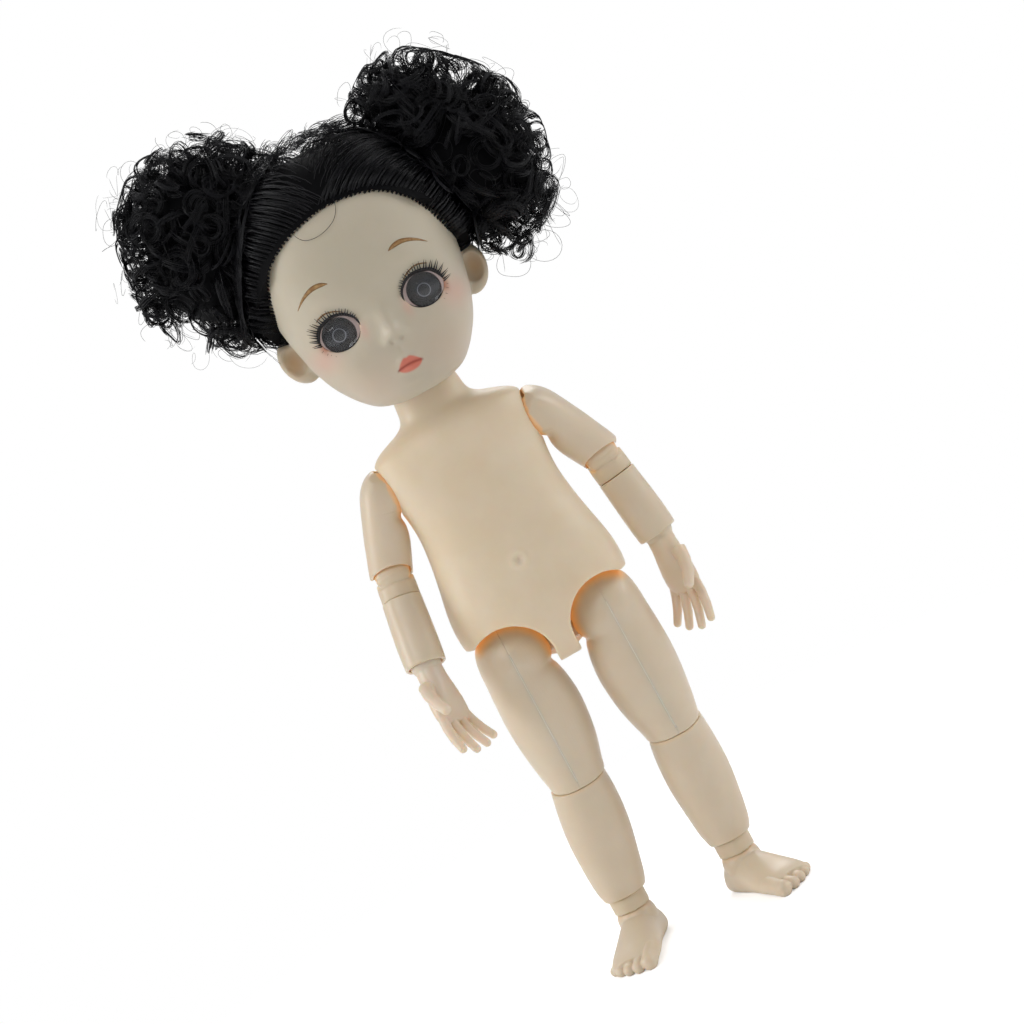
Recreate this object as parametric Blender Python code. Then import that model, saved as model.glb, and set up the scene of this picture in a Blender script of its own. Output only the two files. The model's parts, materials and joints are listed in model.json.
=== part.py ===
"""Ball jointed doll with curly hair bunches, standing on its soles. Metres, +Z up, face towards -Y.

The doll's left side is +X. Every limb is made in its own frame, straight down from its joint, and the
frames (empties) are turned into the standing pose. Each moving piece hangs from the frame on its joint.
"""
import math

import bmesh
import bpy
from mathutils import Matrix, Vector

for thing in list(bpy.data.objects):
    bpy.data.objects.remove(thing, do_unlink=True)

# Shared sizes
GAP = 0.0003                      # running clearance between two pieces
OVERRUN = 0.002                   # how far a cutter passes beyond what it cuts
LIMB_SEGMENTS = 16
BODY_SEGMENTS = 20
HEAD_SEGMENTS = 24
SOCKET_SEGMENTS = 20
ROUND_SEGMENTS = 12
FINE_SEGMENTS = 10
HOLLOW_SEGMENTS = 14
COARSE_SEGMENTS = 8
SECTION_POWER = 2.2               # limbs are a little squarer than an oval
TIP_START_SHARE = 0.35            # first ring of a round tip, of a ring's step
SEAM_SIDE = (0.31, 0.95, 0.05)     # a direction that no finger or toe points in

# Standing pose
ORIGIN_SIDE_STEP = -0.00172        # puts the middle of the whole doll over the origin
ORIGIN_DEPTH_STEP = -0.00126
HIP_HEIGHT = 0.0594
PELVIS_SIDE_STEP = 0.0009
TORSO_LEAN = math.radians(-0.6)
ARM_SWING = {"left": math.radians(-17), "right": math.radians(-2)}
ARM_SPREAD = {"left": math.radians(21.7), "right": math.radians(18.3)}
ELBOW_BEND = {"left": math.radians(20), "right": math.radians(24)}
FOREARM_TUCK = {"left": math.radians(14), "right": math.radians(10)}
HAND_TUCK = {"left": math.radians(8), "right": math.radians(8)}
HAND_TURN = {"left": math.radians(45), "right": math.radians(45)}
THIGH_LEAN = {"left": math.radians(0.8), "right": math.radians(0.2)}
SHIN_LEAN = {"left": math.radians(-1.8), "right": math.radians(5.6)}
FOOT_TURN = {"left": math.radians(26), "right": math.radians(18)}

# Torso: one hollow moulding
TORSO_HEIGHT = 0.0585
TORSO_WIDTH = 0.0344
TORSO_DEPTH = 0.0250
TORSO_DROP = 0.0033               # crotch below the hip centres
TORSO_WALL = 0.0022
SHOULDER_FACE = 0.0150            # flat side, from the middle
SHOULDER_FACE_DROP = 0.0055       # its lower edge below the shoulder centre
HIP_SPACING = 0.0204
HIP_SOCKET_RADIUS = 0.0081
LEG_WAY_RADIUS = 0.0083
HIP_SIDE_RISE = 0.0061            # lower edge of the side walls above the hip centres
LEG_WAYS = {"behind": math.radians(28), "down": 0, "half": math.radians(-45),
            "high": math.radians(-68), "ahead": math.radians(-90)}
NAVEL_RADIUS = 0.0011
NAVEL_HEIGHT = 0.0180
NAVEL_REACH = 0.0119              # the dimple's ball in front of the torso's axis
# height, half width, front and back, each as a share of the size it follows
TORSO_SHARES = [
    (0.000, 0.26, 0.24, 0.30), (0.022, 0.36, 0.33, 0.39), (0.075, 0.43, 0.41, 0.48),
    (0.125, 0.475, 0.455, 0.52), (0.176, 0.498, 0.475, 0.525), (0.236, 0.500, 0.477, 0.505),
    (0.296, 0.487, 0.473, 0.465), (0.364, 0.463, 0.456, 0.415), (0.450, 0.436, 0.424, 0.375),
    (0.535, 0.420, 0.396, 0.352), (0.603, 0.424, 0.380, 0.352), (0.672, 0.441, 0.372, 0.360),
    (0.740, 0.456, 0.360, 0.360), (0.791, 0.450, 0.340, 0.344), (0.817, 0.436, 0.322, 0.328),
    (0.838, 0.388, 0.300, 0.312), (0.855, 0.318, 0.278, 0.288), (0.870, 0.252, 0.260, 0.272),
    (0.894, 0.206, 0.242, 0.250), (0.945, 0.190, 0.232, 0.238), (1.000, 0.182, 0.226, 0.230),
]
TORSO_POWER = 2.3
TORSO_HOLLOW_LEVELS = (6, 15)     # first and last of those outlines that the hollow follows

# Shoulder: axle in the torso, tongue in the arm
SHOULDER_REACH = 0.0175
SHOULDER_DROP = 0.0162            # centre below the neck's rim
SHOULDER_HEIGHT = TORSO_HEIGHT - TORSO_DROP - SHOULDER_DROP
ARM_BALL_RADIUS = 0.0053
AXLE_RADIUS = 0.0016
SHOULDER_AXLE_END = 0.0086
SHOULDER_FLANGE_RADIUS = 0.0030
SHOULDER_FLANGE_THICKNESS = 0.0012
SHOULDER_TONGUE_RADIUS = 0.0021
SHOULDER_TONGUE_THICKNESS = 0.0026
SPREAD_TRAVEL = (math.radians(-6), math.radians(64))

# Upper arm
UPPER_ARM_LENGTH = 0.0148         # shoulder centre to the rim at the elbow
ARM_WIDTH = 0.0084
ARM_DEPTH = 0.0086
UPPER_ARM_SHARES = [
    # height above the rim (share of length), lateral, medial, front, back (shares of width and depth)
    (0.00, 0.500, 0.470, 0.470, 0.470), (0.10, 0.500, 0.490, 0.490, 0.490),
    (0.30, 0.485, 0.530, 0.505, 0.505), (0.46, 0.475, 0.545, 0.515, 0.515),
    (0.60, 0.460, 0.515, 0.530, 0.530), (0.74, 0.440, 0.440, 0.540, 0.540),
    (0.88, 0.420, 0.600, 0.550, 0.550), (1.05, 0.380, 0.610, 0.540, 0.540),
    (1.18, 0.300, 0.560, 0.490, 0.490), (1.28, 0.180, 0.460, 0.400, 0.400),
    (1.34, 0.040, 0.330, 0.270, 0.270),
]
ARM_TRUNK_SHARE = 0.72            # the ball shapes the arm above this share of its radius

# Elbow knuckle
ELBOW_FORWARD = 0.0016            # hinge in front of the arm's axis
ELBOW_ABOVE_RIM = 0.0008
ELBOW_KNUCKLE_WIDTH = 0.0068
ELBOW_KNUCKLE_RADIUS = 0.0022
ELBOW_BARREL_RADIUS = 0.0034
ELBOW_BARREL_LENGTH = 0.0038
ELBOW_BARREL_SLOPE = 0.0015       # its upper edge slopes, to clear the arm's rim
ELBOW_STUD_RADIUS = 0.0016
ELBOW_STUD_LENGTH = 0.0050

# Forearm
FOREARM_LENGTH = 0.0133
FOREARM_WIDTH = 0.0080
FOREARM_SHARES = [
    (0.00, 0.470, 0.470, 0.470, 0.470), (0.04, 0.490, 0.490, 0.485, 0.485),
    (0.30, 0.505, 0.495, 0.500, 0.500), (0.60, 0.500, 0.485, 0.500, 0.500),
    (0.85, 0.485, 0.475, 0.480, 0.480), (1.00, 0.480, 0.470, 0.475, 0.475),
]

# Wrist and hand
WRIST_INSIDE = 0.0006             # ball centre above the forearm's rim
WRIST_BALL_RADIUS = 0.0030
WRIST_TONGUE_RADIUS = 0.0015
WRIST_TONGUE_THICKNESS = 0.0014
WRIST_STEM_RADIUS = 0.0009
WRIST_STEM_LENGTH = 0.0054
WRIST_FLANGE_RADIUS = 0.0015
WRIST_FLANGE_THICKNESS = 0.0010
WRIST_TRAVEL = math.radians(32)
PALM_LENGTH = 0.0120
PALM_WIDTH = 0.0076
PALM_THICKNESS = 0.0048
PALM_SHARES = [
    (0.00, 0.330, 0.330, 0.500, 0.500), (0.14, 0.345, 0.345, 0.500, 0.500),
    (0.30, 0.360, 0.350, 0.500, 0.520), (0.50, 0.430, 0.420, 0.480, 0.490),
    (0.72, 0.500, 0.490, 0.440, 0.440), (0.92, 0.510, 0.500, 0.370, 0.370),
    (1.06, 0.440, 0.440, 0.230, 0.230),
]
FINGER_RADIUS = 0.00092
FINGER_ROOT_SHARE = 0.90          # along the palm
FINGER_TAPER_SHARES = (1.05, 1.03, 0.97, 0.85)
FINGER_LENGTH = 0.0092
FINGER_CURL = math.radians(9)
FINGER_JOINTS = 3
# place across the palm, length, fan angle as shares
FINGER_SHARES = [(0.370, 0.93, 0.20), (0.130, 1.00, 0.07), (-0.120, 0.93, -0.08), (-0.360, 0.80, -0.24)]
THUMB_RADIUS = 0.00115
THUMB_LENGTH = 0.0074
THUMB_BASE_SHARES = (0.44, -0.10, 0.40)
THUMB_LEAN_SHARES = ((0.50, -0.45), (0.28, -0.60), (-0.05, -0.55))   # outward and forward at each joint
THUMB_TAPER_SHARES = (1.25, 1.10, 1.00, 0.85)

# Hip
HIP_BALL_RADIUS = 0.0077
HIP_TONGUE_RADIUS = 0.0042
HIP_TONGUE_THICKNESS = 0.0030
HIP_TRAVEL = (math.radians(-6), math.radians(52))

# Thigh: two halves glued along the middle plane
THIGH_LENGTH = 0.0251             # hip centre to the rim at the knee
THIGH_WIDTH = 0.0152
THIGH_DEPTH = 0.0152
THIGH_WALL = 0.0018
THIGH_SHARES = [
    # height from the hip centre (share of length), lateral, medial, front, back
    (-1.040, 0.335, 0.375, 0.390, 0.375), (-0.960, 0.355, 0.395, 0.405, 0.390),
    (-0.870, 0.385, 0.435, 0.425, 0.420), (-0.750, 0.415, 0.485, 0.455, 0.465),
    (-0.600, 0.445, 0.520, 0.485, 0.500), (-0.430, 0.462, 0.536, 0.505, 0.520),
    (-0.280, 0.458, 0.512, 0.500, 0.520), (-0.170, 0.450, 0.470, 0.492, 0.512),
    (-0.110, 0.444, 0.432, 0.488, 0.506), (-0.060, 0.440, 0.480, 0.490, 0.500),
    (0.020, 0.434, 0.505, 0.505, 0.505), (0.120, 0.412, 0.480, 0.478, 0.478),
    (0.200, 0.362, 0.402, 0.400, 0.400), (0.255, 0.270, 0.285, 0.285, 0.285),
    (0.288, 0.150, 0.160, 0.160, 0.160), (0.300, 0.050, 0.050, 0.050, 0.050),
]
THIGH_CAVITY_SHARES = (-0.62, -0.24)

# Knee knuckle
KNEE_BACK = 0.0015                # hinge behind the leg's axis
KNEE_ABOVE_RIM = 0.0014
KNEE_RIM_TILT = math.radians(9)
KNEE_KNUCKLE_WIDTH = 0.0088
KNEE_KNUCKLE_RADIUS = 0.0037
KNEE_DISC_RADIUS = 0.0040
KNEE_DISC_TOP = 0.0024            # below the rim
KNEE_DISC_THICKNESS = 0.0016
KNEE_STUD_RADIUS = 0.0018
KNEE_NECK_RADIUS = 0.0025
KNEE_STUD_LENGTH = 0.0065
KNEE_NOTCH_WIDTH = 0.0134
KNEE_NOTCH_RISE = 0.0068

# Shin
SHIN_LENGTH = 0.0232              # rim at the knee to the rim at the ankle
SHIN_WIDTH = 0.0122
SHIN_DEPTH = 0.0128
SHIN_SHARES = [
    (-0.03, 0.335, 0.335, 0.325, 0.330), (0.02, 0.372, 0.362, 0.350, 0.360),
    (0.10, 0.415, 0.405, 0.385, 0.410), (0.28, 0.462, 0.452, 0.415, 0.460),
    (0.50, 0.500, 0.500, 0.440, 0.510), (0.68, 0.500, 0.510, 0.455, 0.525),
    (0.86, 0.475, 0.490, 0.455, 0.490), (1.00, 0.445, 0.450, 0.450, 0.440),
    (1.08, 0.440, 0.440, 0.445, 0.435),
]

# Ankle
ANKLE_HEIGHT = 0.0054             # foot's ball centre above the floor
ANKLE_RIM_HEIGHT = 0.0108         # lower rim of the shin above the floor
ANKLE_BAND_RADIUS = 0.0036
ANKLE_DOME_RADIUS = 0.0039
ANKLE_LOBE_RADIUS = 0.0024
ANKLE_NECK_RADIUS = 0.0013
ANKLE_STUD_RADIUS = 0.0018
ANKLE_STUD_LENGTH = 0.0055
ANKLE_TRAVEL = math.radians(24)

# Foot
FOOT_LENGTH = 0.0212              # heel to the roots of the toes' tips
FOOT_WIDTH = 0.0100
FOOT_HEEL = 0.0062                # heel behind the ankle
INSTEP_HEIGHT = 0.0073
FOOT_SQUARE_POWER = 0.85          # the section's sides, flatter than a circle's
FOOT_LEVEL_SHARES = (0.32, 0.68, 0.42)   # section's middle, and its reach above and below, of its height
# place from heel to toes (share of length), lateral, medial (width), top (instep height)
FOOT_SHARES = [
    (0.00, 0.18, 0.18, 0.38), (0.05, 0.30, 0.30, 0.62), (0.14, 0.37, 0.37, 0.86), (0.28, 0.39, 0.39, 1.00),
    (0.44, 0.41, 0.40, 0.94), (0.60, 0.46, 0.44, 0.78), (0.76, 0.51, 0.48, 0.60), (0.88, 0.50, 0.48, 0.48),
    (0.96, 0.44, 0.43, 0.36),
]
TOE_RADIUS = 0.0014
TOE_REACH = 0.0030                # big toe's tip beyond the foot's end
# place across the foot, radius, reach as shares
TOE_SHARES = [(-0.37, 1.28, 1.00), (-0.11, 1.02, 0.72), (0.10, 0.95, 0.34), (0.29, 0.88, -0.16),
              (0.45, 0.82, -0.80)]
TOE_LEVEL_SHARE = 0.86            # tip's middle above the floor, of its radius
# a toe's own line, from its root: share of its place across, shares of its radius behind and above the tip
TOE_LINE_SHARES = ((0.97, 3.2, 0.35), (1.00, 1.3, 0.12), (1.01, 0.0, 0.00))
TOE_TAPER_SHARES = (1.02, 0.94, 1.00)

# Neck
NECK_BALL_RISE = 0.0036           # above the neck's rim
NECK_BALL_HEIGHT = TORSO_HEIGHT - TORSO_DROP + NECK_BALL_RISE
NECK_BALL_RADIUS = 0.0026
NECK_POST_RADIUS = 0.0017
NECK_STUD_RADIUS = 0.0030
NECK_STUD_LENGTH = 0.0090
NECK_FLANGE_THICKNESS = 0.0006
NECK_FLANGE_RADIUS = 0.0040
NECK_CUP_RADIUS = 0.0040
NECK_PLUG_RADIUS = 0.0062
NECK_MOUTH_SHARE = 0.45            # the cup ends this share of the ball's radius below its centre
NECK_PLUG_FLANGE_RADIUS = 0.0100
NECK_PLUG_FLANGE_THICKNESS = 0.0014

# Head: one hollow moulding
HEAD_HEIGHT = 0.0480
HEAD_WIDTH = 0.0370
HEAD_DEPTH = 0.0400
HEAD_LOW = -0.0062                # chin's underside from the neck ball
HEAD_WALL = 0.0018
HEAD_POWER = 2.05
FACE_POWER = 2.7                  # the face is flatter than the back of the head
# height share, half width share, front and back shares of the depth, from the neck ball's axis
HEAD_SHARES = [
    (0.000, 0.130, 0.385, 0.050), (0.022, 0.225, 0.415, 0.140), (0.060, 0.290, 0.440, 0.230),
    (0.110, 0.345, 0.457, 0.320), (0.170, 0.395, 0.467, 0.400), (0.250, 0.438, 0.472, 0.462),
    (0.330, 0.465, 0.472, 0.500), (0.420, 0.488, 0.478, 0.525), (0.510, 0.500, 0.492, 0.535),
    (0.610, 0.499, 0.500, 0.535), (0.700, 0.482, 0.487, 0.520), (0.780, 0.446, 0.450, 0.485),
    (0.860, 0.382, 0.383, 0.418), (0.920, 0.300, 0.298, 0.328), (0.965, 0.195, 0.190, 0.215),
    (0.992, 0.080, 0.078, 0.090),
]
HEAD_HOLLOW_LEVELS = {"first": 1, "last": 15, "step": 2}
HEAD_FORWARD = -0.0005            # the head's axis from the neck ball
NECK_HOLE_RADIUS = 0.0090
NOSE_SINK = 0.0006                # tip behind half the head's depth
NOSE_REACH = HEAD_DEPTH / 2 - NOSE_SINK
NOSE_HEIGHT = 0.0055
NOSE_RADII = (0.0017, 0.0017, 0.0026)
LIPS_HEIGHT = 0.0000
LIPS_RADII = (0.0024, 0.0011, 0.0014)
LIPS_SINK = 0.0018
LIPS_REACH = HEAD_DEPTH / 2 - LIPS_SINK
EAR_HEIGHT = 0.0092
EAR_REACH = 0.0178
EAR_BACK = 0.0012
EAR_RADII = (0.0036, 0.0019, 0.0048)
EAR_BOWL_SHARE = 0.62
EAR_LEAN = math.radians(14)
EAR_FLARE = math.radians(18)

# Eyes
EYE_SPACING = 0.0170
EYE_HEIGHT = 0.0104
EYE_SINK = 0.0108                 # ball centre behind half the head's depth
EYE_DEPTH = HEAD_DEPTH / 2 - EYE_SINK
EYE_RADIUS = 0.0060
EYE_BACK_CUT = 0.0016             # flat back, in front of the ball centre
IRIS_PLANE = 0.0044
EYE_HOLE_WIDTH = 0.0086
EYE_HOLE_HEIGHT = 0.0072
LASH_REACH = 0.0012
LASH_OUTER_SHARE = 0.7            # longer towards the outer corner
LASH_FORWARD_SHARE = 0.45
LASH_FRONT = 0.00990              # lid edge in front of the eye's centre, and how it follows the face
LASH_SLANT = 0.0014
LASH_CURVE = 0.00065
LASH_THICKNESS = 0.00040
LASH_START, LASH_END = math.radians(8), math.radians(158)
LASH_STEPS = 10

# Combed hair and bunches
HAIR_THICKNESS = 0.0024
HAIR_SIDE_SWELL = 0.0022          # fuller over the ears
HAIR_SWELL_HEIGHT = 0.0190
HAIR_SWELL_SPREAD = 0.0085
HAIRLINE_HEIGHT = 0.0328          # middle of the forehead's arch above the neck ball
HAIRLINE_HALF_WIDTH = 0.0186
HAIRLINE_LOW = 0.0125
HAIR_FRONT_EDGE = 0.0010          # side hair ends in front of the head's axis
HAIRLINE_SHARES = [(-1.00, -0.6), (-1.00, 0.22), (-0.97, 0.50), (-0.86, 0.72), (-0.66, 0.87), (-0.36, 0.965),
                   (0.00, 1.00), (0.36, 0.965), (0.66, 0.87), (0.86, 0.72), (0.97, 0.50), (1.00, 0.22),
                   (1.00, -0.6)]
NAPE_SLOPE = math.radians(34)
EAR_ROOM = 0.0006
# bunch centres and radii
BUNCH_PLACE = {"left": (0.0272, 0.0022, 0.0292), "right": (-0.0222, 0.0022, 0.0372)}
BUNCH_INSET = {"left": 0.0045, "right": 0.0035}           # shallower than half the head's depth
BUNCH_RADII = {"left": (0.0154, HEAD_DEPTH / 2 - BUNCH_INSET["left"], 0.0222),
               "right": (0.0186, HEAD_DEPTH / 2 - BUNCH_INSET["right"], 0.0198)}
BUNCH_LEAN = {"left": math.radians(17), "right": math.radians(8)}
BUNCH_LUMP_SHARE = 0.060
BUNCH_WAVES = (5.1, 4.3, 5.7, 2.1, 3.9)     # lumps round each axis, of the unit form
BUNCH_PHASES = (1.3, -0.7)
TIE_DISTANCE = 0.0253             # from the head's middle
TIE_RADIUS = 0.0040
TIE_THICKNESS = 0.0009
HEAD_MIDDLE_SHARE = 0.52


# Materials

def material(name, colour, roughness, metallic=0.0):
    """A Principled material in a plain colour."""
    made = bpy.data.materials.new(name)
    made.use_nodes = True
    shader = made.node_tree.nodes["Principled BSDF"]
    shader.inputs["Base Color"].default_value = (*colour, 1.0)
    shader.inputs["Roughness"].default_value = roughness
    shader.inputs["Metallic"].default_value = metallic
    return made


HEAD_VINYL = material("head_vinyl", (0.72, 0.66, 0.55), 0.50)
BODY_VINYL = material("body_vinyl", (0.72, 0.58, 0.41), 0.48)
LIMB_PLASTIC = material("limb_plastic", (0.66, 0.57, 0.44), 0.34)
JOINT_NYLON = material("joint_nylon", (0.66, 0.52, 0.33), 0.42)
EYE_ACRYLIC = material("eye_acrylic", (0.05, 0.05, 0.055), 0.18)
LENS_ACRYLIC = material("lens_acrylic", (0.55, 0.56, 0.58), 0.05)
LASH_FIBRE = material("lash_fibre", (0.01, 0.01, 0.01), 0.60)
HAIR_FIBRE = material("hair_fibre", (0.008, 0.008, 0.010), 0.45)
TIE_RUBBER = material("tie_rubber", (0.01, 0.01, 0.01), 0.70)


# Frames, meshes and cuts

def frame(name, parent, place=(0, 0, 0), turn=None):
    """An empty on a joint, placed and turned in its parent's frame."""
    empty = bpy.data.objects.new(name, None)
    bpy.context.scene.collection.objects.link(empty)
    empty.parent = parent
    empty.matrix_local = Matrix.Translation(place) @ (turn.to_4x4() if turn else Matrix.Identity(4))
    return empty


def turned(angle, axis):
    """A turn about a main axis."""
    return Matrix.Rotation(angle, 3, axis)


def piece(name, mesh, parent, look, smooth=True):
    """A mesh object hung from a frame."""
    bm = bmesh.new()
    bm.from_mesh(mesh)
    bmesh.ops.recalc_face_normals(bm, faces=bm.faces)
    bm.to_mesh(mesh)
    bm.free()
    made = bpy.data.objects.new(name, mesh)
    bpy.context.scene.collection.objects.link(made)
    made.parent = parent
    if look:
        mesh.materials.append(look)
    if smooth:
        mesh.shade_smooth()
        mesh.set_sharp_from_angle(angle=math.radians(40))
    return made


def cutter(name, mesh, parent, place=(0, 0, 0), turn=None):
    """A solid that only cuts or joins others."""
    made = piece(name, mesh, parent, None, smooth=False)
    made.matrix_local = Matrix.Translation(place) @ (turn.to_4x4() if turn else Matrix.Identity(4))
    made.hide_render = True
    made.display_type = "WIRE"
    return made


def combine(target, operation, *others):
    """Adds one Boolean modifier for each of the other solids."""
    for other in others:
        change = target.modifiers.new(other.name, "BOOLEAN")
        change.operation = operation
        change.solver = "EXACT"
        change.object = other
    return target


def mesh_of(rings, name="outline", closed=False):
    """Bridges rings of points in order; the ends are capped unless the rings close on themselves."""
    mesh = bpy.data.meshes.new(name)
    count = len(rings[0])
    points = [point for ring in rings for point in ring]
    faces = []
    last = len(rings) if closed else len(rings) - 1
    for level in range(last):
        low, high = level * count, (level + 1) % len(rings) * count
        for step in range(count):
            after = (step + 1) % count
            faces.append((low + step, low + after, high + after, high + step))
    if not closed:
        faces.append(tuple(reversed(range(count))))
        faces.append(tuple(range((len(rings) - 1) * count, len(rings) * count)))
    mesh.from_pydata(points, [], faces)
    return mesh


def outline(height, lateral, medial, front, back, side=1, power=SECTION_POWER,
            segments=LIMB_SEGMENTS, face_power=None):
    """One closed outline round a limb, from its reaches on four sides of the axis."""
    ring = []
    for step in range(segments):
        turn = 2 * math.pi * step / segments
        across, along = math.cos(turn), math.sin(turn)
        bulge = (face_power or power) if along < 0 else power
        x = math.copysign(abs(across) ** (2 / bulge), across) * (lateral if across > 0 else medial)
        y = math.copysign(abs(along) ** (2 / bulge), along) * (back if along > 0 else front)
        ring.append((side * x, y, height))
    return ring


def limb(shares, length, width, depth, side, base=0.0, grow=0.0, segments=LIMB_SEGMENTS):
    """A lofted limb; heights are shares of its length above the base, reaches shares of its sizes."""
    rings = []
    for up, lateral, medial, front, back in shares:
        rings.append(outline(base + up * length, lateral * width + grow, medial * width + grow,
                             front * depth + grow, back * depth + grow, side, segments=segments))
    return mesh_of(rings)


def ball(radii, segments=ROUND_SEGMENTS):
    """A sphere or spheroid about the frame's origin."""
    mesh = bpy.data.meshes.new("ball")
    bm = bmesh.new()
    bmesh.ops.create_uvsphere(bm, u_segments=segments, v_segments=segments // 2, radius=1.0)
    bmesh.ops.scale(bm, vec=Vector(radii), verts=bm.verts)
    bm.to_mesh(mesh)
    bm.free()
    return mesh


def rod(radius, low, high, axis="Z", segments=ROUND_SEGMENTS, wide=None):
    """A round or oval rod along an axis between two places; wide is its other radius."""
    rings = []
    for place in (low, high):
        ring = []
        for step in range(segments):
            turn = 2 * math.pi * (step + 0.5) / segments
            a, b = (wide or radius) * math.cos(turn), radius * math.sin(turn)
            ring.append({"X": (place, a, b), "Y": (a, place, b), "Z": (a, b, place)}[axis])
        rings.append(ring)
    return mesh_of(rings)


def block(low, high):
    """A box between two corners."""
    ring = [(low[0], low[1]), (high[0], low[1]), (high[0], high[1]), (low[0], high[1])]
    return mesh_of([[(x, y, z) for x, y in ring] for z in (low[2], high[2])])


def slot(reach, half_width, start, end, thickness, axis, steps=6):
    """The room that a neck sweeps from a hinge: a sector of the plane square to the axis.

    Angles turn from straight down towards +X for a hinge along Y, and towards -Y for a hinge along X.
    """
    def point(angle, out, aside):
        along = (math.sin(angle), -math.cos(angle))
        across = (math.cos(angle), math.sin(angle))
        return (along[0] * out + across[0] * aside, along[1] * out + across[1] * aside)

    flat = [point(start, 0, -half_width), point(start, reach, -half_width)]
    flat += [point(start + (end - start) * step / steps, reach, 0) for step in range(steps + 1)]
    flat += [point(end, reach, half_width), point(end, 0, half_width)]
    if axis == "Y":
        rings = [[(a, side * thickness / 2, b) for a, b in flat] for side in (-1, 1)]
    else:
        rings = [[(side * thickness / 2, -a, b) for a, b in flat] for side in (-1, 1)]
    return mesh_of(rings)


def capsule(path, radii, segments=COARSE_SEGMENTS, rounds=2):
    """A finger or toe: round rings square to a path, with a round tip; the root lies in the palm or foot."""
    path = [Vector(point) for point in path]
    last = (path[-1] - path[-2]).normalized()
    stations = []
    for index, point in enumerate(path):
        before, after = path[max(index - 1, 0)], path[min(index + 1, len(path) - 1)]
        stations.append((point, radii[index], (after - before).normalized()))
    for step in reversed(range(rounds)):
        angle = math.pi / 2 * (step + TIP_START_SHARE) / rounds
        stations.append((path[-1] + last * radii[-1] * math.cos(angle), radii[-1] * math.sin(angle), last))
    rings = []
    for centre, radius, ahead in stations:
        aside = ahead.cross(Vector(SEAM_SIDE)).normalized()
        up = ahead.cross(aside).normalized()
        rings.append([tuple(centre + aside * radius * math.cos(turn) + up * radius * math.sin(turn))
                      for turn in (2 * math.pi * step / segments for step in range(segments))])
    return mesh_of(rings)


def side_sign(side):
    return 1 if side == "left" else -1


# Torso

def torso_rings(first, last, inset=0.0):
    """The torso's outlines, or the hollow's when drawn in by the wall."""
    rings = []
    for up, half, front, back in TORSO_SHARES[first:last]:
        wide = half * TORSO_WIDTH - inset
        rings.append(outline(up * TORSO_HEIGHT - TORSO_DROP, wide, wide, front * TORSO_DEPTH - inset,
                             back * TORSO_DEPTH - inset, 1, TORSO_POWER, BODY_SEGMENTS))
    return rings


def make_torso(base):
    torso = piece("torso", mesh_of(torso_rings(0, len(TORSO_SHARES))), base, BODY_VINYL)
    top = (1 - TORSO_DROP / TORSO_HEIGHT) * TORSO_HEIGHT
    hollow = torso_rings(*TORSO_HOLLOW_LEVELS, TORSO_WALL + SHOULDER_FLANGE_THICKNESS)
    cuts = [cutter("torso_hollow", mesh_of(hollow), base)]
    face_low = SHOULDER_HEIGHT - SHOULDER_FACE_DROP
    for side in ("left", "right"):
        sign = side_sign(side)
        face = sorted((sign * SHOULDER_FACE, sign * TORSO_WIDTH))
        cuts.append(cutter(f"shoulder_face_{side}", block((face[0], -TORSO_DEPTH, face_low),
                                                          (face[1], TORSO_DEPTH, TORSO_HEIGHT)), base))
        shoulder = (sign * SHOULDER_REACH, 0, SHOULDER_HEIGHT)
        cuts.append(cutter(f"shoulder_dish_{side}", ball([ARM_BALL_RADIUS + GAP] * 3, SOCKET_SEGMENTS), base,
                           shoulder))
        axle = sorted((sign * (SHOULDER_AXLE_END - OVERRUN), sign * SHOULDER_REACH))
        cuts.append(cutter(f"shoulder_hole_{side}", rod(AXLE_RADIUS + GAP, *axle, "X"), base,
                           (0, 0, SHOULDER_HEIGHT)))
        hip = (sign * HIP_SPACING / 2, 0, 0)
        cuts.append(cutter(f"hip_socket_{side}", ball([HIP_SOCKET_RADIUS] * 3, SOCKET_SEGMENTS), base, hip))
        for name, angle in LEG_WAYS.items():
            way = rod(LEG_WAY_RADIUS, -TORSO_HEIGHT, 0, "Z", LIMB_SEGMENTS)
            cuts.append(cutter(f"leg_way_{name}_{side}", way, base, hip, turned(angle, "X")))
        edge = sorted((sign * (HIP_SPACING / 2 + HIP_SOCKET_RADIUS / 3), sign * TORSO_WIDTH))
        cuts.append(cutter(f"hip_side_{side}", block((edge[0], -TORSO_DEPTH, -TORSO_HEIGHT),
                                                     (edge[1], TORSO_DEPTH, HIP_SIDE_RISE)), base))
    cuts.append(cutter("hip_axle_hole", rod(AXLE_RADIUS + GAP, -HIP_SPACING / 4, HIP_SPACING / 4, "X"), base))
    navel = ball([NAVEL_RADIUS] * 3, FINE_SEGMENTS)
    cuts.append(cutter("navel", navel, base, (0, -NAVEL_REACH, NAVEL_HEIGHT)))
    bore = rod(NECK_STUD_RADIUS + GAP, top - NECK_STUD_LENGTH - OVERRUN, top + OVERRUN)
    cuts.append(cutter("neck_bore", bore, base))
    return combine(torso, "DIFFERENCE", *cuts)


# Arms

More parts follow.
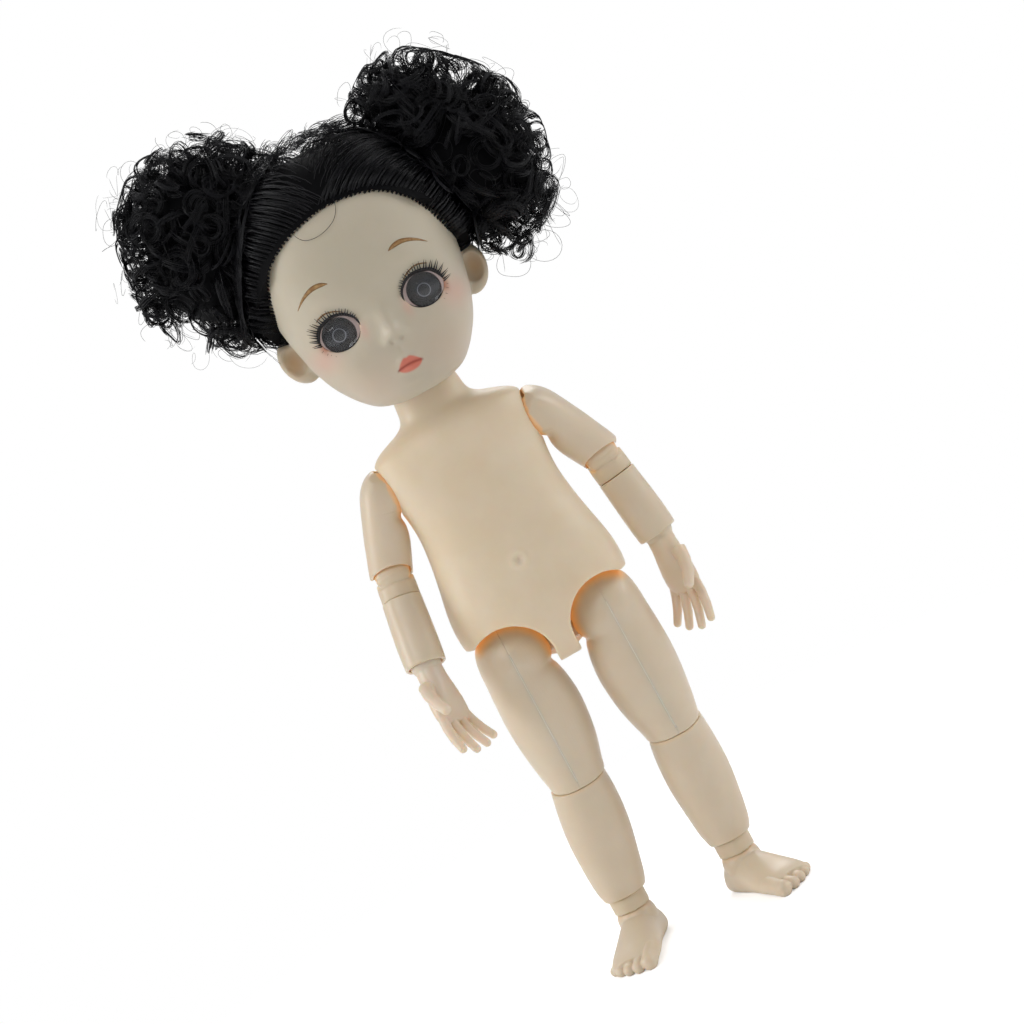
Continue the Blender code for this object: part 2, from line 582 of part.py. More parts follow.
def make_shoulder_link(side, base):
    """Axle along X through the torso's side, tongue across Y in the arm."""
    sign = side_sign(side)
    ends = sorted((sign * (SHOULDER_AXLE_END - SHOULDER_REACH), 0))
    link = piece(f"shoulder_link_{side}", rod(AXLE_RADIUS, *ends, "X", FINE_SEGMENTS), base, JOINT_NYLON)
    tongue = cutter(f"shoulder_tongue_{side}", rod(SHOULDER_TONGUE_RADIUS, -SHOULDER_TONGUE_THICKNESS / 2,
                                                   SHOULDER_TONGUE_THICKNESS / 2, "Y"), base)
    inner = sign * (SHOULDER_AXLE_END - SHOULDER_REACH)
    flange = sorted((inner, inner + sign * SHOULDER_FLANGE_THICKNESS))
    head = cutter(f"shoulder_flange_{side}", rod(SHOULDER_FLANGE_RADIUS, *flange, "X"), base)
    return combine(link, "UNION", tongue, head)


def make_upper_arm(side, base, seat):
    """Hollowed at the top for the tongue, cupped at the bottom for the elbow's knuckle."""
    sign = side_sign(side)
    arm = piece(f"upper_arm_{side}", limb(UPPER_ARM_SHARES, UPPER_ARM_LENGTH, ARM_WIDTH, ARM_DEPTH, sign,
                                          -UPPER_ARM_LENGTH), base, LIMB_PLASTIC)
    bound = cutter(f"arm_ball_{side}", ball([ARM_BALL_RADIUS] * 3), base)
    trunk = cutter(f"arm_trunk_{side}", rod(ARM_WIDTH, -UPPER_ARM_LENGTH - OVERRUN,
                                               -ARM_BALL_RADIUS * ARM_TRUNK_SHARE), base)
    combine(bound, "UNION", trunk)
    combine(arm, "INTERSECT", bound)
    facing = -math.pi / 2 * sign              # the neck points to the torso when the arm hangs straight
    edges = sorted((facing - sign * SPREAD_TRAVEL[1], facing - sign * SPREAD_TRAVEL[0]))
    way = cutter(f"arm_slot_{side}", slot(ARM_BALL_RADIUS + OVERRUN, AXLE_RADIUS + GAP, *edges,
                                          2 * (AXLE_RADIUS + GAP), "Y"), base)
    deep = SHOULDER_TONGUE_THICKNESS / 2 + GAP
    pocket = cutter(f"arm_pocket_{side}", rod(SHOULDER_TONGUE_RADIUS + GAP, -deep, deep, "Y"), base)
    cup = cutter(f"elbow_cup_{side}", ball((ELBOW_KNUCKLE_WIDTH / 2 + GAP, ELBOW_KNUCKLE_RADIUS + GAP,
                                            ELBOW_KNUCKLE_RADIUS + GAP), SOCKET_SEGMENTS), seat)
    front = cutter(f"elbow_notch_{side}", rod(ELBOW_KNUCKLE_RADIUS + GAP, -ARM_DEPTH, 0, "Y", LIMB_SEGMENTS,
                                              wide=ELBOW_KNUCKLE_WIDTH / 2 + GAP), seat)
    return combine(arm, "DIFFERENCE", way, pocket, cup, front)


def make_elbow_link(side, base):
    """Knuckle on the hinge, barrel below the upper arm's rim, stud down into the forearm."""
    knuckle = ball((ELBOW_KNUCKLE_WIDTH / 2, ELBOW_KNUCKLE_RADIUS, ELBOW_KNUCKLE_RADIUS))
    link = piece(f"elbow_link_{side}", knuckle, base, JOINT_NYLON)
    top = -ELBOW_ABOVE_RIM - GAP
    low = top - ELBOW_BARREL_LENGTH
    rings = []
    for height, radius in ((low, ELBOW_BARREL_RADIUS), (top - ELBOW_BARREL_SLOPE, ELBOW_BARREL_RADIUS),
                           (top, ELBOW_BARREL_RADIUS - ELBOW_BARREL_SLOPE)):
        rings.append(outline(height, radius, radius, radius, radius, power=2))
    barrel = cutter(f"elbow_barrel_{side}", mesh_of(rings), base, (0, ELBOW_FORWARD, 0))
    stud = cutter(f"elbow_stud_{side}", rod(ELBOW_STUD_RADIUS, low - ELBOW_STUD_LENGTH, top), base,
                  (0, ELBOW_FORWARD, 0))
    return combine(link, "UNION", barrel, stud)


def make_forearm(side, base):
    """Bored for the elbow's stud, cupped for the wrist's ball."""
    sign = side_sign(side)
    arm = piece(f"forearm_{side}", limb(FOREARM_SHARES, FOREARM_LENGTH, FOREARM_WIDTH, FOREARM_WIDTH, sign,
                                        -FOREARM_LENGTH), base, LIMB_PLASTIC)
    bore = rod(ELBOW_STUD_RADIUS + GAP, -ELBOW_STUD_LENGTH - 2 * GAP, OVERRUN)
    return combine(arm, "DIFFERENCE", cutter(f"forearm_bore_{side}", bore, base))


def cup_forearm(side, arm, wrist):
    """The cup and the stem's bore follow the wrist's own frame."""
    cup = cutter(f"wrist_cup_{side}", ball([WRIST_BALL_RADIUS + GAP] * 3), wrist)
    stem = cutter(f"wrist_bore_{side}", rod(WRIST_STEM_RADIUS + GAP, 0, WRIST_STEM_LENGTH), wrist)
    room = cutter(f"wrist_room_{side}", rod(WRIST_FLANGE_RADIUS + GAP,
                                            WRIST_STEM_LENGTH - WRIST_FLANGE_THICKNESS - GAP,
                                            WRIST_STEM_LENGTH + GAP), wrist)
    return combine(arm, "DIFFERENCE", cup, stem, room)


def make_wrist_link(side, base):
    """Stem with a flange, turning in the forearm, and a tongue in the hand."""
    link = piece(f"wrist_link_{side}", rod(WRIST_STEM_RADIUS, 0, WRIST_STEM_LENGTH, "Z", FINE_SEGMENTS), base,
                 JOINT_NYLON)
    tongue = cutter(f"wrist_tongue_{side}", rod(WRIST_TONGUE_RADIUS, -WRIST_TONGUE_THICKNESS / 2,
                                                WRIST_TONGUE_THICKNESS / 2, "X", FINE_SEGMENTS), base)
    head = cutter(f"wrist_flange_{side}", rod(WRIST_FLANGE_RADIUS, WRIST_STEM_LENGTH - WRIST_FLANGE_THICKNESS,
                                              WRIST_STEM_LENGTH, "Z", FINE_SEGMENTS), base)
    return combine(link, "UNION", tongue, head)


def make_hand(side, base):
    """Palm towards -Y, thumb outward; the frame turns the palm in."""
    sign = side_sign(side)
    rings = []
    for down, lateral, medial, front, back in PALM_SHARES:
        rings.append(outline(-down * PALM_LENGTH, lateral * PALM_WIDTH, medial * PALM_WIDTH,
                             front * PALM_THICKNESS, back * PALM_THICKNESS, sign))
    hand = piece(f"hand_{side}", mesh_of(rings), base, LIMB_PLASTIC)
    joined = [cutter(f"hand_ball_{side}", ball([WRIST_BALL_RADIUS] * 3, HOLLOW_SEGMENTS), base)]
    for number, (across, long, fan) in enumerate(FINGER_SHARES):
        root = Vector((sign * across * PALM_WIDTH, 0, -PALM_LENGTH * FINGER_ROOT_SHARE))
        path = [root]
        for joint in range(FINGER_JOINTS):
            bend = FINGER_CURL * (joint + 1)
            ahead = Vector((sign * math.sin(fan), -math.sin(bend) * math.cos(fan),
                            -math.cos(bend) * math.cos(fan)))
            path.append(path[-1] + ahead * FINGER_LENGTH * long / FINGER_JOINTS)
        taper = [FINGER_RADIUS * share for share in FINGER_TAPER_SHARES]
        joined.append(cutter(f"finger_{number}_{side}", capsule(path, taper), base))
    across, ahead, down = THUMB_BASE_SHARES
    root = Vector((sign * across * PALM_WIDTH, ahead * PALM_THICKNESS, -down * PALM_LENGTH))
    path = [root]
    for lean_out, lean_front in THUMB_LEAN_SHARES:
        ahead = Vector((sign * lean_out, lean_front, -1)).normalized()
        path.append(path[-1] + ahead * THUMB_LENGTH / len(THUMB_LEAN_SHARES))
    taper = [THUMB_RADIUS * share for share in THUMB_TAPER_SHARES]
    joined.append(cutter(f"thumb_{side}", capsule(path, taper), base))
    combine(hand, "UNION", *joined)
    pocket = cutter(f"hand_pocket_{side}", rod(WRIST_TONGUE_RADIUS + GAP, -WRIST_TONGUE_THICKNESS / 2 - GAP,
                                               WRIST_TONGUE_THICKNESS / 2 + GAP, "X"), base)
    way = cutter(f"hand_slot_{side}", slot(WRIST_BALL_RADIUS + OVERRUN, WRIST_STEM_RADIUS + GAP,
                                           math.pi - WRIST_TRAVEL, math.pi + WRIST_TRAVEL,
                                           WRIST_TONGUE_THICKNESS + 2 * GAP, "X"), base)
    return combine(hand, "DIFFERENCE", pocket, way)


def make_arm(side, torso_frame):
    """Shoulder to fingertips, each piece on its own frame."""
    sign = side_sign(side)
    swing = frame(f"arm_swing_{side}", torso_frame, (sign * SHOULDER_REACH, 0, SHOULDER_HEIGHT),
                  turned(-ARM_SWING[side], "X"))
    make_shoulder_link(side, swing)
    spread = frame(f"arm_spread_{side}", swing, turn=turned(-sign * ARM_SPREAD[side], "Y"))
    seat = frame(f"elbow_seat_{side}", spread, (0, -ELBOW_FORWARD, ELBOW_ABOVE_RIM - UPPER_ARM_LENGTH),
                 turned(sign * FOREARM_TUCK[side], "Y"))
    make_upper_arm(side, spread, seat)
    flex = frame(f"elbow_flex_{side}", seat, turn=turned(-ELBOW_BEND[side], "X"))
    make_elbow_link(side, flex)
    top = -ELBOW_ABOVE_RIM - GAP - ELBOW_BARREL_LENGTH - GAP
    swivel = frame(f"forearm_swivel_{side}", flex, (0, ELBOW_FORWARD, top))
    forearm = make_forearm(side, swivel)
    wrist = frame(f"wrist_swivel_{side}", swivel, (0, 0, WRIST_INSIDE - FOREARM_LENGTH),
                  turned(sign * HAND_TUCK[side], "Y") @ turned(-sign * HAND_TURN[side], "Z"))
    cup_forearm(side, forearm, wrist)
    make_wrist_link(side, wrist)
    bend = frame(f"wrist_bend_{side}", wrist)
    make_hand(side, bend)


# Legs

def make_hip_link(side, base):
    """Axle into the torso's web, tongue across Y in the thigh."""
    sign = side_sign(side)
    inner = -sign * (HIP_SPACING / 2 - GAP)
    axle = rod(AXLE_RADIUS, *sorted((inner, 0)), "X", FINE_SEGMENTS)
    link = piece(f"hip_link_{side}", axle, base, JOINT_NYLON)
    tongue = cutter(f"hip_tongue_{side}", rod(HIP_TONGUE_RADIUS, -HIP_TONGUE_THICKNESS / 2,
                                              HIP_TONGUE_THICKNESS / 2, "Y"), base)
    return combine(link, "UNION", tongue)


def make_thigh(side, base):
    """Two halves: the whole form, cut by the middle plane, hollow, with the hip's slot and the knee's cup."""
    sign = side_sign(side)
    rim = -THIGH_LENGTH
    knuckle = (0, KNEE_BACK, rim + KNEE_ABOVE_RIM)
    facing = -math.pi / 2 * sign
    edges = sorted((facing - sign * HIP_TRAVEL[1], facing - sign * HIP_TRAVEL[0]))
    halves = []
    for half, direction in (("outer", sign), ("inner", -sign)):
        whole = limb(THIGH_SHARES, THIGH_LENGTH, THIGH_WIDTH, THIGH_DEPTH, sign)
        shell = piece(f"thigh_{half}_{side}", whole, base, LIMB_PLASTIC)
        tag = f"{half}_{side}"
        bound = cutter(f"thigh_ball_{tag}", ball([HIP_BALL_RADIUS] * 3, LIMB_SEGMENTS), base)
        combine(bound, "UNION", cutter(f"thigh_trunk_{tag}", rod(THIGH_WIDTH, -2 * THIGH_LENGTH,
                                                                 -HIP_BALL_RADIUS / 4), base))
        keep = sorted((direction * GAP / 2, direction * THIGH_WIDTH))
        plane = cutter(f"thigh_half_{tag}", block((keep[0], -THIGH_DEPTH, -2 * THIGH_LENGTH),
                                                  (keep[1], THIGH_DEPTH, THIGH_LENGTH)), base)
        combine(shell, "INTERSECT", bound, plane)
        lip = cutter(f"knee_rim_{tag}", block((-THIGH_WIDTH, -2 * THIGH_DEPTH, -THIGH_LENGTH),
                                              (THIGH_WIDTH, 2 * THIGH_DEPTH, 0)), base, (0, 0, rim),
                     turned(KNEE_RIM_TILT, "X"))
        pocket = cutter(f"hip_pocket_{tag}", rod(HIP_TONGUE_RADIUS + GAP, -HIP_TONGUE_THICKNESS / 2 - GAP,
                                                 HIP_TONGUE_THICKNESS / 2 + GAP, "Y"), base)
        way = cutter(f"hip_slot_{tag}", slot(HIP_BALL_RADIUS + OVERRUN, AXLE_RADIUS + GAP, *edges,
                                             2 * (AXLE_RADIUS + GAP), "Y"), base)
        cup = cutter(f"knee_cup_{tag}", ball((KNEE_KNUCKLE_WIDTH / 2 + GAP, KNEE_KNUCKLE_RADIUS + GAP,
                                              KNEE_KNUCKLE_RADIUS + GAP), SOCKET_SEGMENTS), base, knuckle)
        notch = cutter(f"knee_notch_{tag}", rod(KNEE_NOTCH_RISE, 0, THIGH_DEPTH, "Y",
                                                wide=KNEE_NOTCH_WIDTH / 2), base, knuckle)
        inside = []
        for up, *reaches in THIGH_SHARES:
            if THIGH_CAVITY_SHARES[0] <= up <= THIGH_CAVITY_SHARES[1]:
                inside.append((up, *(reach - THIGH_WALL / THIGH_WIDTH for reach in reaches)))
        hollow = cutter(f"thigh_hollow_{tag}", limb(inside, THIGH_LENGTH, THIGH_WIDTH, THIGH_DEPTH, sign,
                                                    segments=COARSE_SEGMENTS), base)
        combine(shell, "DIFFERENCE", lip, pocket, way, cup, notch, hollow)
        halves.append(shell)
    return halves


def make_knee_link(side, base):
    """Knuckle in the thigh's cup; disc and stud set in the shin."""
    knuckle = ball((KNEE_KNUCKLE_WIDTH / 2, KNEE_KNUCKLE_RADIUS, KNEE_KNUCKLE_RADIUS))
    link = piece(f"knee_link_{side}", knuckle, base, JOINT_NYLON)
    top = -KNEE_ABOVE_RIM - KNEE_DISC_TOP
    low = top - KNEE_DISC_THICKNESS
    joined = [cutter(f"knee_neck_{side}", rod(KNEE_NECK_RADIUS, low, 0), base, (0, -KNEE_BACK / 2, 0)),
              cutter(f"knee_disc_{side}", rod(KNEE_DISC_RADIUS, low, top), base, (0, -KNEE_BACK, 0)),
              cutter(f"knee_stud_{side}", rod(KNEE_STUD_RADIUS, low - KNEE_STUD_LENGTH, top), base,
                     (0, -KNEE_BACK, 0))]
    return combine(link, "UNION", *joined)


def make_shin(side, base, hinge):
    """Lofted calf; its top is cut by the thigh's rim and takes the knee's disc and stud."""
    sign = side_sign(side)
    calf = limb(SHIN_SHARES, SHIN_LENGTH, SHIN_WIDTH, SHIN_DEPTH, sign, -SHIN_LENGTH)
    shin = piece(f"shin_{side}", calf, base, LIMB_PLASTIC)
    rim = (0, -KNEE_BACK, -KNEE_ABOVE_RIM - GAP)
    top = cutter(f"shin_top_{side}", block((-THIGH_WIDTH, -2 * THIGH_DEPTH, 0),
                                           (THIGH_WIDTH, 2 * THIGH_DEPTH, THIGH_LENGTH)), hinge, rim,
                 turned(KNEE_RIM_TILT, "X"))
    well_top = -KNEE_ABOVE_RIM - KNEE_DISC_TOP
    well_low = well_top - KNEE_DISC_THICKNESS - GAP
    well = cutter(f"knee_well_{side}", rod(KNEE_DISC_RADIUS + GAP, well_low, 0), hinge, (0, -KNEE_BACK, 0))
    bore = cutter(f"knee_bore_{side}", rod(KNEE_STUD_RADIUS + GAP, well_low - KNEE_STUD_LENGTH, 0), hinge,
                  (0, -KNEE_BACK, 0))
    knuckle = cutter(f"shin_cup_{side}", ball((KNEE_KNUCKLE_WIDTH / 2 + GAP, KNEE_KNUCKLE_RADIUS + GAP,
                                               KNEE_KNUCKLE_RADIUS + GAP), SOCKET_SEGMENTS), hinge)
    return combine(shin, "DIFFERENCE", top, well, bore, knuckle)


def make_ankle_link(side, base):
    """Stud up into the shin, band that shows, neck and lobe down into the foot."""
    rim = ANKLE_RIM_HEIGHT - ANKLE_HEIGHT - GAP
    link = piece(f"ankle_link_{side}", rod(ANKLE_BAND_RADIUS, 0, rim), base, JOINT_NYLON)
    hollow = cutter(f"ankle_dish_{side}", ball([ANKLE_DOME_RADIUS + GAP] * 3, SOCKET_SEGMENTS), base)
    combine(link, "DIFFERENCE", hollow)
    joined = [cutter(f"ankle_stud_{side}", rod(ANKLE_STUD_RADIUS, rim - GAP, rim + ANKLE_STUD_LENGTH), base),
              cutter(f"ankle_neck_{side}", rod(ANKLE_NECK_RADIUS, 0, rim), base),
              cutter(f"ankle_lobe_{side}", ball([ANKLE_LOBE_RADIUS] * 3, FINE_SEGMENTS), base)]
    return combine(link, "UNION", *joined)


def make_foot(side, base):
    """Lofted from heel to toes along -Y, flat sole, dome under the ankle's band."""
    sign = side_sign(side)
    middle, above, below = FOOT_LEVEL_SHARES
    rings = []
    for along, lateral, medial, top in FOOT_SHARES:
        place = FOOT_HEEL - along * FOOT_LENGTH
        high = top * INSTEP_HEIGHT
        ring = []
        for step in range(LIMB_SEGMENTS):
            turn = 2 * math.pi * step / LIMB_SEGMENTS
            across, up = math.cos(turn), math.sin(turn)
            reach = (lateral if across > 0 else medial) * FOOT_WIDTH
            x = math.copysign(abs(across) ** FOOT_SQUARE_POWER, across) * reach
            z = up * high * (above if up > 0 else below) + high * middle - ANKLE_HEIGHT
            ring.append((sign * x, place, z))
        rings.append(ring)
    foot = piece(f"foot_{side}", mesh_of(rings), base, LIMB_PLASTIC)
    joined = [cutter(f"foot_dome_{side}", ball([ANKLE_DOME_RADIUS] * 3, LIMB_SEGMENTS), base)]
    end = FOOT_HEEL - FOOT_LENGTH
    for number, (across, thick, reach) in enumerate(TOE_SHARES):
        radius = TOE_RADIUS * thick
        tip = end - reach * TOE_REACH + radius
        x = sign * across * FOOT_WIDTH
        low = radius * TOE_LEVEL_SHARE - ANKLE_HEIGHT
        path = [(x * aside, tip + radius * behind, low + radius * up)
                for aside, behind, up in TOE_LINE_SHARES]
        taper = [radius * share for share in TOE_TAPER_SHARES]
        joined.append(cutter(f"toe_{number}_{side}", capsule(path, taper), base))
    combine(foot, "UNION", *joined)
    floor = cutter(f"foot_floor_{side}", block((-FOOT_LENGTH, -2 * FOOT_LENGTH, -2 * ANKLE_HEIGHT),
                                               (FOOT_LENGTH, FOOT_LENGTH, -ANKLE_HEIGHT)), base)
    socket = cutter(f"foot_socket_{side}", ball([ANKLE_LOBE_RADIUS + GAP] * 3, FINE_SEGMENTS), base)
    way = cutter(f"foot_slot_{side}", slot(ANKLE_DOME_RADIUS + OVERRUN, ANKLE_NECK_RADIUS + GAP,
                                           math.pi - ANKLE_TRAVEL, math.pi + ANKLE_TRAVEL,
                                           2 * (ANKLE_NECK_RADIUS + GAP), "X"), base)
    return combine(foot, "DIFFERENCE", floor, socket, way)


def make_leg(side, torso_frame, root):
    """Hip to toes. The foot stands flat under the shin's lower end."""
    sign = side_sign(side)
    swing = frame(f"hip_swing_{side}", torso_frame, (sign * HIP_SPACING / 2, 0, 0))
    make_hip_link(side, swing)
    lean = THIGH_LEAN[side]
    spread = frame(f"hip_spread_{side}", swing, turn=turned(-TORSO_LEAN - sign * lean, "Y"))
    make_thigh(side, spread)
    flex = frame(f"knee_flex_{side}", spread, (0, KNEE_BACK, KNEE_ABOVE_RIM - THIGH_LENGTH))
    make_knee_link(side, flex)
    shin_base = frame(f"shin_frame_{side}", flex, (0, -KNEE_BACK, -KNEE_ABOVE_RIM - GAP),
                      turned(-sign * (SHIN_LEAN[side] - lean), "Y"))
    shin = make_shin(side, shin_base, flex)
    bpy.context.view_layer.update()
    end = shin_base.matrix_world @ Vector((0, 0, -SHIN_LENGTH))
    stand = root.matrix_world.inverted() @ Vector((end.x, end.y, 0))
    swivel = frame(f"ankle_swivel_{side}", root, (stand.x, stand.y, ANKLE_HEIGHT),
                   turned(sign * FOOT_TURN[side], "Z"))
    rim = ANKLE_RIM_HEIGHT - ANKLE_HEIGHT
    bore = cutter(f"ankle_bore_{side}", rod(ANKLE_STUD_RADIUS + GAP, 0, ANKLE_STUD_LENGTH + rim), swivel)
    floor = cutter(f"ankle_rim_{side}", block([-SHIN_LENGTH] * 3, (SHIN_LENGTH, SHIN_LENGTH, rim)), swivel)
    combine(shin, "DIFFERENCE", bore, floor)
    make_ankle_link(side, swivel)
    pitch = frame(f"ankle_pitch_{side}", swivel)
    make_foot(side, pitch)
    bpy.context.view_layer.update()
    world = swivel.matrix_world.copy()
    swivel.parent = shin_base
    bpy.context.view_layer.update()
    swivel.matrix_world = world


# Neck and head

def make_neck(torso_frame):
    """Post with a ball, cup on the ball, plug round the cup, each on its own frame."""
    turn = frame("neck_turn", torso_frame, (0, 0, NECK_BALL_HEIGHT), turned(-TORSO_LEAN, "Y"))
    top = TORSO_HEIGHT - TORSO_DROP - NECK_BALL_HEIGHT
    stud = piece("neck_stud", rod(NECK_STUD_RADIUS, top - NECK_STUD_LENGTH, top), turn, JOINT_NYLON)
    flange_low = top + GAP
    flange = rod(NECK_FLANGE_RADIUS, flange_low, flange_low + NECK_FLANGE_THICKNESS)
    joined = [cutter("neck_flange", flange, turn),
              cutter("neck_post", rod(NECK_POST_RADIUS, top - GAP, 0, "Z", FINE_SEGMENTS), turn),
              cutter("neck_ball", ball([NECK_BALL_RADIUS] * 3), turn)]
    combine(stud, "UNION", *joined)
    nod = frame("neck_nod", turn)
    cup = piece("neck_socket", ball([NECK_CUP_RADIUS] * 3), nod, JOINT_NYLON)
    reach = NECK_PLUG_RADIUS
    mouth = NECK_BALL_RADIUS * NECK_MOUTH_SHARE
    combine(cup, "DIFFERENCE", cutter("cup_bore", ball([NECK_BALL_RADIUS + GAP] * 3, SOCKET_SEGMENTS), nod),
            cutter("cup_mouth", block([-reach] * 3, (reach, reach, -mouth)), nod))
    tilt = frame("neck_tilt", nod)
    plug = piece("neck_plug", ball([NECK_PLUG_RADIUS] * 3), tilt, HEAD_VINYL)
    flange = cutter("plug_flange", rod(NECK_PLUG_FLANGE_RADIUS, -NECK_PLUG_FLANGE_THICKNESS / 2,
                                       NECK_PLUG_FLANGE_THICKNESS / 2), tilt)
    combine(plug, "UNION", flange)
    combine(plug, "DIFFERENCE", cutter("plug_bore", ball([NECK_CUP_RADIUS + GAP] * 3, SOCKET_SEGMENTS), tilt),
            cutter("plug_mouth", block([-reach] * 3, (reach, reach, -mouth)), tilt))
    return tilt


def head_rings(grow=0.0, inset=0.0, first=0, last=None, step=1, segments=HEAD_SEGMENTS):
    """Outlines of the head, grown for the hair or drawn in for the hollow."""
    rings = []
    middle = HEAD_LOW + HEAD_MIDDLE_SHARE * HEAD_HEIGHT
    for up, half, front, back in HEAD_SHARES[first:last:step]:
        height = HEAD_LOW + up * HEAD_HEIGHT
        stretch = 1 + (grow - inset) / (HEAD_HEIGHT / 2)
        height = middle + (height - middle) * stretch
        centre = HEAD_FORWARD + (back - front) * HEAD_DEPTH / 2
        deep = (back + front) * HEAD_DEPTH / 2 + grow - inset
        wide = half * HEAD_WIDTH + grow - inset
        if grow > GAP:
            wide += HAIR_SIDE_SWELL * math.exp(-((height - HAIR_SWELL_HEIGHT) / HAIR_SWELL_SPREAD) ** 2)
        rings.append([(x, y + centre, z) for x, y, z in
                      outline(height, wide, wide, deep, deep, 1, HEAD_POWER, segments, FACE_POWER)])
    return rings


def ear_form(name, side, base, grow=0.0, shrink_share=1.0, shift=(0, 0, 0)):
    """The ear's oval, leaning with the head's side."""
    sign = side_sign(side)
    place = (sign * (EAR_REACH + shift[0]), EAR_BACK + shift[1], EAR_HEIGHT + shift[2])
    lean = turned(sign * EAR_LEAN, "Y") @ turned(-sign * EAR_FLARE, "Z")
    radii = [radius * shrink_share + grow for radius in EAR_RADII]
    return cutter(f"{name}_{side}", ball(radii, FINE_SEGMENTS), base, place, lean)


def make_head(base):
    """Hollow head with two eye holes, nose, lips and ears."""
    head = piece("head_shell", mesh_of(head_rings()), base, HEAD_VINYL)
    nose_place = (0, NOSE_RADII[1] - NOSE_REACH, NOSE_HEIGHT)
    lips_place = (0, LIPS_RADII[1] - LIPS_REACH, LIPS_HEIGHT)
    joined = [cutter("nose", ball(NOSE_RADII, FINE_SEGMENTS), base, nose_place),
              cutter("lips", ball(LIPS_RADII, FINE_SEGMENTS), base, lips_place)]
    bowls = []
    for side in ("left", "right"):
        joined.append(ear_form("ear", side, base))
        bowls.append(ear_form("ear_bowl", side, base, shrink_share=EAR_BOWL_SHARE,
                              shift=(EAR_RADII[0] / 4, -EAR_RADII[1], 0)))
    combine(head, "UNION", *joined)
    hollow = head_rings(inset=HEAD_WALL, segments=HOLLOW_SEGMENTS, **HEAD_HOLLOW_LEVELS)
    cuts = [cutter("head_hollow", mesh_of(hollow), base),
            cutter("neck_hole", rod(NECK_HOLE_RADIUS, HEAD_LOW * 2, NECK_PLUG_FLANGE_THICKNESS), base),
            cutter("plug_seat", rod(NECK_PLUG_FLANGE_RADIUS + GAP, -NECK_PLUG_FLANGE_THICKNESS / 2 - GAP,
                                    NECK_PLUG_RADIUS), base)]
    for side in ("left", "right"):
        sign = side_sign(side)
        place = (sign * EYE_SPACING / 2, -EYE_DEPTH, EYE_HEIGHT)
        cuts.append(cutter(f"eye_seat_{side}", ball([EYE_RADIUS + GAP] * 3), base, place))
        cuts.append(cutter(f"eye_hole_{side}", rod(EYE_HOLE_HEIGHT / 2, -HEAD_DEPTH, 0, "Y",
                                                   wide=EYE_HOLE_WIDTH / 2), base, place))
    return combine(head, "DIFFERENCE", *cuts, *bowls)


def make_eyes(base):
    """Each eye is a ball cut flat at its back and at its iris, under a clear dome."""
    for side in ("left", "right"):
        sign = side_sign(side)
        place = (sign * EYE_SPACING / 2, -EYE_DEPTH, EYE_HEIGHT)
        spot = frame(f"eye_frame_{side}", base, place)
        eye = piece(f"eye_{side}", ball([EYE_RADIUS] * 3), spot, EYE_ACRYLIC)
        wide = 2 * EYE_RADIUS
        combine(eye, "INTERSECT", cutter(f"eye_body_{side}", block((-wide, -IRIS_PLANE, -wide),
                                                                   (wide, -EYE_BACK_CUT, wide)), spot))
        lens = piece(f"lens_{side}", ball([EYE_RADIUS] * 3), spot, LENS_ACRYLIC)
        combine(lens, "INTERSECT", cutter(f"lens_front_{side}", block((-wide, -wide, -wide),
                                                                      (wide, -IRIS_PLANE - GAP, wide)), spot))
        make_lashes(side, spot)


def make_lashes(side, base):
    """A curved strip that comes straight out along the upper lid, then flares up and out."""
    sign = side_sign(side)
    wide, high = EYE_HOLE_WIDTH / 2 - GAP, EYE_HOLE_HEIGHT / 2 - GAP
    back = EYE_RADIUS + GAP + LASH_THICKNESS
    rings = []
    for step in range(LASH_STEPS + 1):
        turn = LASH_START + (LASH_END - LASH_START) * step / LASH_STEPS
        across, up = math.cos(turn), math.sin(turn)
        outward = Vector((across, 0, up))
        x, z = across * wide, up * high
        root = Vector((x, -math.sqrt(back ** 2 - x ** 2 - z ** 2), z))
        edge = Vector((root.x, across * LASH_SLANT + across ** 2 * LASH_CURVE - LASH_FRONT, root.z))
        spread = LASH_REACH * (1 + LASH_OUTER_SHARE * max(across, 0))
        tip = edge + outward * spread - Vector((0, spread * LASH_FORWARD_SHARE, 0))
        inner = outward * LASH_THICKNESS
        front = Vector((0, LASH_THICKNESS, 0))
        ring = [root, edge, tip, tip - front, edge - inner - front, root - inner]
        rings.append([(sign * x, y, z) for x, y, z in ring])
    return piece(f"eyelashes_{side}", mesh_of(rings), base, LASH_FIBRE)


def make_combed_hair(base):
    """A thick cap from the hairline over the crown to the nape."""
    hair = piece("combed_hair", mesh_of(head_rings(grow=HAIR_THICKNESS, first=2)), base, HAIR_FIBRE)
    arch = []
    for across, up in HAIRLINE_SHARES:
        arch.append((across * HAIRLINE_HALF_WIDTH, HAIRLINE_LOW + (HAIRLINE_HEIGHT - HAIRLINE_LOW) * up))
    face = mesh_of([[(x, y, z) for x, z in arch] for y in (-HEAD_DEPTH, -HAIR_FRONT_EDGE)])
    nape = block((-HEAD_DEPTH, -HEAD_DEPTH, -HEAD_DEPTH), (HEAD_DEPTH, HEAD_DEPTH, 0))
    front = block((-HEAD_DEPTH, -HEAD_DEPTH, -HEAD_DEPTH), (HEAD_DEPTH, 0, HAIRLINE_LOW))
    cuts = [cutter("hair_inside", mesh_of(head_rings(grow=GAP)), base), cutter("hair_face", face, base),
            cutter("hair_nape", nape, base, (0, EAR_BACK, HAIRLINE_LOW), turned(-NAPE_SLOPE, "X")),
            cutter("hair_front", front, base)]
    for side in ("left", "right"):
        cuts.append(ear_form("ear_room", side, base, EAR_ROOM))
    return combine(hair, "DIFFERENCE", *cuts)


